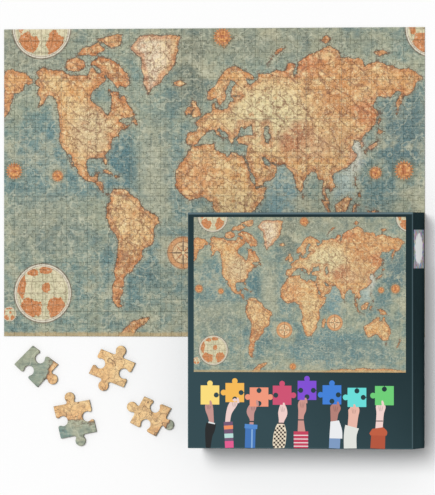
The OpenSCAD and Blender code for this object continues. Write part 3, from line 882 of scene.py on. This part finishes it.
for number, spec in enumerate(LOOSE_PIECES, 1):
    loose_piece(number, *spec)


# ---- Box boards ----
# Lid and tray are rigid grey board, folded up, with strips of stay paper glued round their
# corners. Paper wraps them and is turned in over the edges. The lid's top is a little low, to
# leave room for the inks on it.
WALL = 1.8
PAPER = 0.2
STAY = 0.25
STAY_LEG = 22
TURN_IN = 16
CORNER = 1.6
INK_ROOM = 0.15


def open_box(shape, low, high, corner, open_top):
    """The faces of a box without its top or its bottom, its other edges rounded."""
    place = Matrix.Translation((low + high) / 2) @ Matrix.Diagonal((*(high - low), 1))
    bmesh.ops.create_cube(shape, size=1, matrix=place)
    faces = sorted(shape.faces, key=lambda f: f.calc_center_median().z)
    gap = faces[-1] if open_top else faces[0]
    edges = [e for e in shape.edges if e not in gap.edges[:]]
    bmesh.ops.delete(shape, geom=[gap], context="FACES_ONLY")
    bmesh.ops.bevel(shape, geom=edges, offset=corner * MM, segments=4, profile=0.5, material=-1,
                    affect="EDGES")


def drawn_in(low, high, sides, closed_end, open_end, open_top):
    """A box made smaller by so many mm at its sides, its closed end and its open end."""
    bottom, top = (closed_end, open_end) if open_top else (open_end, closed_end)
    return low + Vector((sides, sides, bottom)) * MM, high - Vector((sides, sides, top)) * MM


def carry_in(shape, steps, open_top):
    """Carries the open edge on by steps of (inward, into the box) in mm. Returns its last edges."""
    rim = [e for e in shape.edges if e.is_boundary]
    places = [v.co for e in rim for v in e.verts]
    centre = [(min(p[axis] for p in places) + max(p[axis] for p in places)) / 2 for axis in (0, 1)]
    for inward, depth in steps:
        made = bmesh.ops.extrude_edge_only(shape, edges=rim)["geom"]
        rim = picked(made, bmesh.types.BMEdge)
        for vertex in {v for e in rim for v in e.verts}:
            vertex.co.x -= math.copysign(inward * MM, vertex.co.x - centre[0])
            vertex.co.y -= math.copysign(inward * MM, vertex.co.y - centre[1])
            vertex.co.z += (-depth if open_top else depth) * MM
    return rim


def board_shell(name, low, high, open_top):
    """The grey board of a lid or tray, inside its paper."""
    shape = bmesh.new()
    open_box(shape, *drawn_in(low, high, PAPER + STAY, PAPER, PAPER, open_top), CORNER - PAPER, open_top)
    depth = (high.z - low.z) / MM - 2 * PAPER - WALL
    floor = carry_in(shape, ((WALL - STAY, 0), (0, depth)), open_top)
    bmesh.ops.holes_fill(shape, edges=floor)
    bmesh.ops.recalc_face_normals(shape, faces=shape.faces)
    return finished(shape, name, (board_paint,))


def draw_sheet(shape, points, run):
    """A thin sheet: a line through points, drawn out along a vector."""
    line = [shape.verts.new(point) for point in points]
    edges = [shape.edges.new(pair) for pair in zip(line, line[1:])]
    drawn = bmesh.ops.extrude_edge_only(shape, edges=edges)["geom"]
    bmesh.ops.translate(shape, verts=picked(drawn, bmesh.types.BMVert), vec=run)


def corner_stays(name, low, high, open_top):
    """Four strips of stay paper round the outside corners of the board."""
    low, high = drawn_in(low, high, PAPER, PAPER + CORNER, PAPER, open_top)
    shape = bmesh.new()
    radius = (CORNER - PAPER) * MM
    middle = (low + high) / 2
    half = (high - low) / 2
    for turn in range(4):
        flat = (half.x, half.y) if turn % 2 == 0 else (half.y, half.x)
        path = [(flat[0], flat[1] - STAY_LEG * MM)]
        for i in range(5):
            angle = math.pi / 2 * i / 4
            path.append((flat[0] - radius + radius * math.cos(angle),
                         flat[1] - radius + radius * math.sin(angle)))
        path.append((flat[0] - STAY_LEG * MM, flat[1]))
        spin = Matrix.Translation((middle.x, middle.y, 0)) @ Matrix.Rotation(turn * math.pi / 2, 4, "Z")
        draw_sheet(shape, [spin @ Vector((x, y, low.z)) for x, y in path], (0, 0, high.z - low.z))
    bmesh.ops.recalc_face_normals(shape, faces=shape.faces)
    made = finished(shape, name, (stay_paint,))
    thicken(made, STAY * 0.9)
    return made


def thicken(made, thickness):
    """Gives a sheet its thickness in mm, behind its front."""
    solid = made.modifiers.new("thickness", "SOLIDIFY")
    solid.thickness = thickness * MM
    solid.offset = -1
    solid.use_even_offset = True


def paper_cover(shape, low, high, open_top):
    """Wrapping paper: over the outside of a lid or tray and turned in at the open edge."""
    open_box(shape, low, high, CORNER, open_top)
    carry_in(shape, ((WALL + 2 * PAPER, 0), (0, TURN_IN)), open_top)
    bmesh.ops.recalc_face_normals(shape, faces=shape.faces)
    for face in shape.faces:
        face.smooth = True


stay_paint, tree = new_paint("stay_paper")
place = millimetres(tree)
fibre = mottle(tree, place, 2.2, 4, 0.7)
tone = over(tree, fibre, ink(196, 166, 122), ink(222, 198, 156))
satin(tree, tone, calc(tree, "MULTIPLY_ADD", fibre, 0.1, 0.75), fibre, 0.0001)

lid_low, lid_high = node_boxes["lid_wrap"]
lid_high.z -= INK_ROOM * MM
tray_low, tray_high = node_boxes["tray_wrap"]
for name, maker, low, high, open_top, paint in (
        ("lid_board", board_shell, lid_low, lid_high, False, "greyboard"),
        ("tray_board", board_shell, tray_low, tray_high, True, "greyboard"),
        ("lid_corner_stays", corner_stays, lid_low, lid_high, False, "stay_paper"),
        ("tray_corner_stays", corner_stays, tray_low, tray_high, True, "stay_paper")):
    # The dash keeps the name apart from the CAD piece's own.
    made = maker(name.replace("_", "-"), low, high, open_top)
    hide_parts(name)
    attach(made, bodies_of[name])


# ---- Wrapping paper ----
# Dark slate-teal paper with a soft matt lamination covers lid and tray. The lid's has
# the same map printed on it, and a painted highlight makes it paler along its upper edges.
LID_PICTURE = (10.2, 123.1, 359.1, 372.4)
LID_SCALE = (LID_PICTURE[2] - LID_PICTURE[0]) / PICTURE_W
LID_PRINT_STEP = 2.4
# The paper's own dark tone, and the paler tone of its painted sheen.
WRAP_DARK_AND_SHEEN_TONES = ((24, 40, 42), (54, 76, 82))


def dark_paper(name, low_tone, sheen_tone, edge_highlight=0):
    """Matt laminated dark paper with a painted sheen, a little paler towards the lower left of the lid."""
    paint, tree = new_paint(name)
    place = millimetres(tree)
    spot = node(tree, "SeparateXYZ", {0: place})
    # Painted sheen: the paper turns paler towards the lower left, with a soft random cloud in it.
    slope = calc(tree, "MULTIPLY_ADD", spot.outputs[1], 1.1, calc(tree, "MULTIPLY", spot.outputs[0], 0.8))
    cloud = mottle(tree, place, 120, 3, 0.5)
    share = calc(tree, "MULTIPLY_ADD", cloud, 0.3, fade(tree, slope, 150, -380))
    tone = over(tree, share, ink(*low_tone), ink(*sheen_tone))
    fibre = mottle(tree, place, 1.2, 3, 0.7)
    tone = tint(tree, tone, fibre, 0.04, (120, 140, 146))
    # Painted highlight: paler along the lid's upper edge and, more faintly, its right edge, on its top face
    # only.
    if edge_highlight:
        edge = lid_high / MM
        upper = fade(tree, spot.outputs[1], edge.y - 3.9, edge.y - 2.1)
        right = calc(tree, "MULTIPLY", fade(tree, spot.outputs[0], edge.x - 2.6, edge.x - 1), 0.45)
        on_top = fade(tree, spot.outputs[2], edge.z - 1.25, edge.z - 0.45)
        painted_highlight = calc(tree, "MULTIPLY", calc(tree, "MAXIMUM", upper, right), on_top)
        tone = tint(tree, tone, painted_highlight, edge_highlight, (112, 134, 142))
    satin(tree, tone, calc(tree, "MULTIPLY_ADD", fibre, 0.12, 0.42), fibre, 0.00008)
    tree.nodes["Principled BSDF"].inputs["Specular IOR Level"].default_value = 0.0
    return paint


wrap_paint = dark_paper("dark_wrapping_paper", *WRAP_DARK_AND_SHEEN_TONES)
# The lid's paper carries the painted highlight along its upper edges.
lid_paint = dark_paper("lid_wrapping_paper", *WRAP_DARK_AND_SHEEN_TONES, 0.8)
# Paler paper for the rounded edges round the lid's top: a painted highlight.
highlight_edge_paint = dark_paper("painted_highlight_paper_edge", (70, 92, 98), (84, 108, 114))

shape = bmesh.new()
paper_cover(shape, lid_low, lid_high, False)
top = max(shape.faces, key=lambda f: f.calc_center_median().z)
# The rounded faces round the lid's top take the painted highlight paper.
rounded = [f for e in top.edges for f in e.link_faces if f is not top]
for face in rounded:
    face.material_index = 1
top.smooth = False
tops = [top]
for axis, start, end in ((0, LID_PICTURE[0], LID_PICTURE[2]), (1, LID_PICTURE[1], LID_PICTURE[3])):
    count = round((end - start) / LID_PRINT_STEP)
    tops = cut_along(shape, tops, axis, [lid_low[axis] + (start + (end - start) * i / count) * MM
                                         for i in range(count + 1)])
for face in tops:
    at = (face.calc_center_median() - lid_low) / MM
    if LID_PICTURE[0] < at.x < LID_PICTURE[2] and LID_PICTURE[1] < at.y < LID_PICTURE[3]:
        face.material_index = 2
lid_paper = finished(shape, "lid_paper", (lid_paint, highlight_edge_paint, picture_paint))
lay_picture(lid_paper.data, lid_low.x + LID_PICTURE[0] * MM, lid_low.y + LID_PICTURE[1] * MM, LID_SCALE)
thicken(lid_paper, PAPER)
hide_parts("lid_wrap")
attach(lid_paper, "box_lid")

shape = bmesh.new()
paper_cover(shape, tray_low, tray_high, True)
tray_paper = finished(shape, "tray_paper", (wrap_paint,))
thicken(tray_paper, PAPER)
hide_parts("tray_wrap")
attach(tray_paper, "box_tray")


# ---- Figures printed on the lid ----
# Below the map a row of eight bright jigsaw pieces is held up by raised hands in
# different sleeves. Each colour is its own flat film of ink on the lid's paper.
FILM = 0.02
INK_LEVEL = lid_high.z + 0.002 * MM
TAB = dict(radius=4.6, rise=3.2, fillet=0.5)
NOTCH = dict(radius=4.1, rise=5.0, fillet=0.5)
ICON_HALF = 15.4
CHECK = 3.2

# Centre in mm from the lid's lower left corner, colour, and the bottom, right, top and
# left sides: 1 for a tab, -1 for a notch, 0 for a plain side.
ICONS = [
    (37, 86, (250, 220, 120), (0, -1, 1, 0)),
    (78, 90, (245, 185, 80), (-1, -1, 1, 1)),
    (118, 83, (240, 150, 120), (-1, 1, -1, 1)),
    (156, 86, (205, 75, 110), (0, 1, 1, -1)),
    (197, 94, (125, 70, 210), (-1, -1, 1, -1)),
    (238, 87, (55, 125, 215), (-1, -1, 1, 1)),
    (279, 83, (100, 220, 215), (0, -1, -1, 1)),
    (324, 86, (105, 205, 115), (0, 0, -1, 1)),
]
# Hands from the fingers down to the sleeve, as (x, y, half width).
HANDS = [
    ((196, 146, 138), [(35, 75, 3), (35, 70, 6), (36, 62, 6.5), (38, 53, 5), (40, 40, 3.5)]),
    ((236, 206, 200), [(80, 80, 2.5), (77, 74, 6), (72, 66, 6), (68, 56, 4.5), (66, 42, 4)]),
    ((194, 144, 138), [(112, 76, 3), (108, 68, 6), (104, 59, 6.5), (106, 47, 3.5), (105, 36, 3.5)]),
    ((240, 206, 200), [(156, 72, 3), (157, 66, 6), (157, 56, 7.5), (155, 45, 4.5), (154, 38, 4)]),
    ((204, 148, 138), [(192, 80, 3), (189, 73, 6.5), (189, 63, 6.5), (187, 50, 4.5), (188, 26, 6.5)]),
    ((178, 124, 114), [(245, 74, 3), (244, 67, 8.5), (242, 57, 6.5), (241, 42, 5)]),
    ((232, 182, 166), [(272, 70, 4), (274, 64, 9), (273, 52, 8), (271, 33, 7.5)]),
    ((240, 210, 204), [(318, 76, 4), (318, 68, 8), (317, 56, 6), (315, 30, 6)]),
]
# Sleeves, cuffs, straps and bracelets over the wrists, each with how many inks lie under it.
SLEEVES = [
    (2, (226, 232, 232), [(40, 42, 5.5), (39, 38, 5.5)]),
    (3, (14, 18, 20), [(39, 40, 8), (37, 30, 8), (35, 20, 6), (34, 1, 4)]),
    (2, (112, 82, 112), [(67, 43, 7.5), (69, 1, 7)]),
    (3, (240, 142, 92), [(67.4, 37, 7.5), (67.8, 31, 7.3)]),
    (3, (184, 222, 216), [(68, 24, 7.3), (68.3, 17, 7.2)]),
    (3, (226, 88, 142), [(68.6, 12, 7.2), (69, 1, 7.1)]),
    (2, (40, 50, 56), [(106, 44.5, 4), (106, 42.5, 4)]),
    (2, (58, 114, 184), [(104, 37, 8.5), (103, 1, 8.5)]),
    (3, (78, 136, 204), [(105, 39, 10.5), (104.5, 32, 10.5)]),
    (3, (134, 176, 220), [(106.5, 31, 1.2), (106, 1, 1.2)]),
    (2, (50, 40, 36), [(154.5, 42, 5), (154.5, 40, 5)]),
    (2, (236, 222, 196), [(154, 39.5, 6), (153, 27, 10), (151, 9, 10.5), (151, 1, 8.5)]),
    (2, (60, 62, 66), [(187, 47.5, 5), (187, 45.5, 5)]),
    (2, (196, 58, 88), [(187, 28, 12), (187, 1, 11.5)]),
    (3, (238, 226, 226), [(187, 22.5, 12), (187, 21, 12)]),
    (3, (238, 226, 226), [(187, 16.5, 12), (187, 15, 12)]),
    (3, (238, 226, 226), [(187, 10.5, 12), (187, 9, 12)]),
    (3, (238, 226, 226), [(187, 5, 12), (187, 3.5, 12)]),
    (2, (122, 152, 192), [(243, 22, 9), (242, 1, 9)]),
    (3, (234, 236, 238), [(242.5, 45, 7), (244.5, 30, 10), (244.5, 17, 10.5)]),
    (2, (224, 226, 220), [(271, 36, 11.5), (268, 22, 10.5), (268, 1, 10.5)]),
    (2, (60, 44, 40), [(316, 46, 5.5), (316, 44.5, 5.5)]),
    (2, (178, 78, 48), [(314, 24, 11.5), (313, 1, 12)]),
    (3, (190, 88, 54), [(313, 34, 9), (314, 27, 14.5), (314, 22, 13)]),
]

figure_paint, tree = new_paint("printed_figures")
flat = node(tree, "Attribute", attribute_name="ink").outputs["Color"]
place = millimetres(tree)
dots = mottle(tree, place, 1.4, 2, 0.7)
tone = tint(tree, flat, dots, 0.02, (255, 255, 255))
satin(tree, tone, calc(tree, "MULTIPLY_ADD", dots, 0.1, 0.42), dots, 0.00005)
tree.nodes["Principled BSDF"].inputs["Specular IOR Level"].default_value = 0.1


def stroke(path, fine=5):
    """Outline of a smooth stroke through points (x, y, half width), anticlockwise."""
    knots = np.array([path[0], *path, path[-1]], float)
    spine = []
    for a, b, c, d in zip(knots, knots[1:], knots[2:], knots[3:]):
        for t in np.arange(fine) / fine:
            spine.append(0.5 * (2 * b + (c - a) * t + (2 * a - 5 * b + 4 * c - d) * t ** 2
                                + (3 * b - a - 3 * c + d) * t ** 3))
    spine.append(knots[-1])
    spine = np.array(spine)
    way = np.gradient(spine[:, :2], axis=0)
    way /= np.linalg.norm(way, axis=1)[:, None]
    aside = np.stack([-way[:, 1], way[:, 0]], 1) * spine[:, 2:]
    return [Vector(p) for p in np.concatenate([spine[:, :2] - aside, (spine[:, :2] + aside)[::-1]])]


def ink_film(shape, colours, level, tone, outline):
    """A flat film of one ink on the lid, so many films up from the paper."""
    low = INK_LEVEL + level * FILM * MM
    foot = shape.faces.new([shape.verts.new((lid_low.x + p.x * MM, lid_low.y + p.y * MM, low))
                            for p in outline])
    lifted = bmesh.ops.extrude_face_region(shape, geom=[foot])["geom"]
    bmesh.ops.translate(shape, verts=picked(lifted, bmesh.types.BMVert), vec=(0, 0, 0.8 * FILM * MM))
    whole = {f for v in foot.verts for f in v.link_faces} | set(picked(lifted, bmesh.types.BMFace))
    for face in whole:
        for loop in face.loops:
            loop[colours] = ink(*tone)


shape = bmesh.new()
colours = shape.loops.layers.float_color.new("ink")
for skin, path in HANDS:
    ink_film(shape, colours, 0, skin, stroke(path))
    x, y, _ = path[1]
    darker = [0.82 * c for c in skin]
    for aside in (-3.2, 0, 3.2):
        finger = [(x + aside, y + 2, 0.3), (x + aside * 0.8, y - 3, 0.6), (x + aside * 0.5, y - 7, 0.3)]
        ink_film(shape, colours, 1, darker, stroke(finger))
for level, tone, path in SLEEVES:
    ink_film(shape, colours, level, tone, stroke(path))
# Chequers fill the fourth sleeve, which is widest in its middle.
for row in range(11):
    for column in range(row % 2, 7, 2):
        x = 141 + column * CHECK + row * 0.3
        y = 1.5 + row * 3.3
        if abs(x + CHECK / 2 - 151 - row * 0.25) < 9.6 - max(0, row - 7) * 0.8:
            square = [(x, y), (x + CHECK, y), (x + CHECK, y + CHECK), (x, y + CHECK)]
            ink_film(shape, colours, 3, (60, 48, 42), [Vector(p) for p in square])
for x, y, tone, sides in ICONS:
    half = ICON_HALF
    corners = [(x - half, y - half), (x + half, y - half), (x + half, y + half), (x - half, y + half)]
    outline = []
    for i, side in enumerate(sides):
        outline += along_side(corners[i], corners[(i + 1) % 4], 0.5, side, 0, 5, TAB if side > 0 else NOTCH)
    ink_film(shape, colours, 4, tone, outline)
for skin, path in HANDS:
    x, y, _ = path[0]
    thumb = stroke([(x + 4, y - 7, 1.5), (x + 3.4, y - 3, 2.1), (x + 2.4, y + 2, 1.2)])
    ink_film(shape, colours, 5, skin, thumb)
bmesh.ops.recalc_face_normals(shape, faces=shape.faces)
figures = finished(shape, "lid_figures", (figure_paint,))
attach(figures, "box_lid")


# ---- Side sticker ----
# A small white paper label on the lid's right side, with a mottled coloured border.
# Nothing is written on it.
LABEL_REACH_Y = 29
LABEL_REACH_Z = 36

sticker_paint, tree = new_paint("sticker_paper")
place = millimetres(tree)
sticker_low, sticker_high = node_boxes["side_sticker"]
middle = (sticker_low + sticker_high) / 2 / MM
_, reach = offset(tree, place, tuple(middle), (0, 1 / LABEL_REACH_Y, 1 / LABEL_REACH_Z))
spots = node(tree, "TexVoronoi", {"Vector": place, "Scale": 1 / 5})
border = over(tree, 0.42, ink(104, 112, 138), spots.outputs["Color"])
fibre = mottle(tree, place, 8, 3, 0.6)
share = fade(tree, calc(tree, "MULTIPLY_ADD", fibre, 0.5, reach), 1.0, 1.15)
tone = over(tree, share, ink(246, 246, 246), border)
satin(tree, tone, calc(tree, "MULTIPLY_ADD", fibre, 0.1, 0.45), fibre, 0.00006)
sticker = frame["nodes"]["side_sticker"]
sticker.data.materials.clear()
sticker.data.materials.append(sticker_paint)


# ---- Reference poster ----
# The same picture on thin poster paper at full size, folded in four. The first fold is
# at the left and the second along the bottom, so that four leaves lie on each other.
LEAF = 0.14
LEAVES = 4
CROSS_FOLD = 1.5
POSTER_PRINT_STEP = 3


def half_turn(across_at, reach, lower, upper):
    """Points (across, up) of a fold that bulges by reach between two levels."""
    radius = (upper - lower) / 2
    angles = [-math.pi / 2 - math.pi * i / 8 for i in range(9)]
    return [(across_at + reach * math.cos(a), lower + radius + radius * math.sin(a)) for a in angles]


poster_paint, tree = new_paint("poster_paper")
place = millimetres(tree)
fibre = mottle(tree, place, 1.5, 3, 0.7)
tone = over(tree, fibre, ink(226, 222, 210), ink(242, 240, 232))
satin(tree, tone, calc(tree, "MULTIPLY_ADD", fibre, 0.1, 0.5), fibre, 0.00005)

poster_low, poster_high = node_boxes["reference_poster"]
gap = (poster_high.z - poster_low.z - LEAF * MM) / (LEAVES - 1)
levels = [poster_low.z + LEAF * MM + i * gap for i in range(LEAVES)]
shape = bmesh.new()
fold_y = poster_low.y + CROSS_FOLD * MM
for lower, upper in ((0, 1), (2, 3)):
    radius = (levels[upper] - levels[lower]) / 2
    bend = half_turn(poster_low.x + radius, radius, levels[lower], levels[upper])
    profile = [(poster_high.x, levels[lower]), *bend, (poster_high.x, levels[upper])]
    draw_sheet(shape, [(x, fold_y, z) for x, z in profile], (0, poster_high.y - fold_y, 0))
for lower, upper in ((0, 3), (1, 2)):
    start = poster_low.x + (levels[upper] - levels[lower]) / 2
    reach = CROSS_FOLD * MM * (upper - lower) / 3
    bend = half_turn(fold_y, reach, levels[lower], levels[upper])
    draw_sheet(shape, [(start, y, z) for y, z in bend], (poster_high.x - start, 0, 0))
bmesh.ops.recalc_face_normals(shape, faces=shape.faces)
tops = [f for f in shape.faces if f.calc_center_median().z > poster_high.z - 1e-6]
for axis in (0, 1):
    span = poster_high[axis] - poster_low[axis]
    count = round(span / MM / POSTER_PRINT_STEP)
    tops = cut_along(shape, tops, axis, [poster_low[axis] + span * i / count for i in range(1, count)])
for face in shape.faces:
    face.smooth = True
    face.material_index = 0
for face in tops:
    if face.normal.z < 0:
        face.normal_flip()
    face.material_index = 1
poster = finished(shape, "poster", (poster_paint, picture_paint))
lay_picture(poster.data, poster_low.x - PICTURE_W / 2 * MM, poster_low.y - PICTURE_H / 2 * MM, 1)
thicken(poster, LEAF)
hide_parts("reference_poster")
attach(poster, bodies_of["reference_poster"])


# ---- Piece bag ----
# The empty clear bag that the pieces came in, pressed flat and creased, with its zip
# strip of two ribs across the open end.
BAG_COLUMNS = 60
BAG_ROWS = 44
FILM_ALPHA = 0.24
RIB_AT = 1.8
RIB_W = 1.6

bag_paint, tree = new_paint("clear_film")
place = millimetres(tree)
# One noise gives the film its creased relief and its colour: painted shade darkens the hollows of the
# creases and a painted highlight brightens their ridges.
crease_relief_and_shade = mottle(tree, vector_calc(tree, "MULTIPLY", place, (1, 0.4, 1)), 14, 4, 0.6)
tone = over(tree, crease_relief_and_shade, ink(208, 214, 218), ink(242, 245, 247))
satin(tree, tone, calc(tree, "MULTIPLY_ADD", crease_relief_and_shade, 0.1, 0.12), crease_relief_and_shade, 0.0006)
tree.nodes["Principled BSDF"].inputs["Alpha"].default_value = FILM_ALPHA

bag_low, bag_high = node_boxes["piece_bag"]
noise = random.Random(7)
waves = [(noise.uniform(-0.09, 0.09), noise.uniform(-0.07, 0.07), noise.uniform(0, 6.3)) for _ in range(9)]


def bag_height(x, y):
    """How thick the flattened bag is at a point: about a sixth at its welded edges, 1 at most."""
    edge = min(x - bag_low.x, bag_high.x - x, y - bag_low.y, bag_high.y - y) / MM
    ripple = sum(math.sin(x / MM * a + y / MM * b + c) for a, b, c in waves) / 9
    return min(1, 0.16 + min(1, edge / 26) * (0.44 + 0.5 * ripple))


shape = bmesh.new()
bag_size = bag_high - bag_low
middle = bag_low + bag_size / 2
place = Matrix.Translation((middle.x, middle.y, bag_low.z)) @ Matrix.Diagonal((*bag_size / 2, 1))
for level in (0, 1):
    film = bmesh.ops.create_grid(shape, x_segments=BAG_COLUMNS, y_segments=BAG_ROWS, size=1,
                                 matrix=place)
    for vertex in film["verts"]:
        vertex.co.z += bag_size.z * bag_height(vertex.co.x, vertex.co.y) * level
bmesh.ops.bridge_loops(shape, edges=[e for e in shape.edges if e.is_boundary])
bmesh.ops.recalc_face_normals(shape, faces=shape.faces)
for face in shape.faces:
    face.smooth = True
bag = finished(shape, "bag_film", (bag_paint,))
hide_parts("piece_bag")
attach(bag, bodies_of["piece_bag"])

zip_low, zip_high = node_boxes["bag_zip"]
shape = bmesh.new()
zip_middle = (zip_low.y + zip_high.y) / 2
for y, width, low_z, high_z in ((zip_middle, zip_high.y - zip_low.y, 0, 0.3),
                                (zip_middle - RIB_AT * MM, RIB_W * MM, 0.25, 1),
                                (zip_middle + RIB_AT * MM, RIB_W * MM, 0.25, 1)):
    tall = zip_high.z - zip_low.z
    place = Matrix.Translation(((zip_low.x + zip_high.x) / 2, y, zip_low.z + tall * (low_z + high_z) / 2))
    size = Matrix.Diagonal((zip_high.x - zip_low.x, width, tall * (high_z - low_z), 1))
    bmesh.ops.create_cube(shape, size=1, matrix=place @ size)
bmesh.ops.bevel(shape, geom=shape.edges[:], offset=0.08 * MM, segments=2, profile=0.5, material=-1,
                affect="EDGES")
zip_strip = finished(shape, "zip_ribs", (bag_paint,))
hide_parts("bag_zip")
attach(zip_strip, bodies_of["bag_zip"])


# ---- Sizes ----
# The bounds of the visible model and of the CAD model, in millimetres, so that the two
# can be compared.
def plain(corners):
    """Corners as plain lists in millimetres."""
    return [[round(v / MM, 2) for v in corner] for corner in corners]


{"cad_mm": plain(cad_bounds), "visual_mm": plain(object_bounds())}
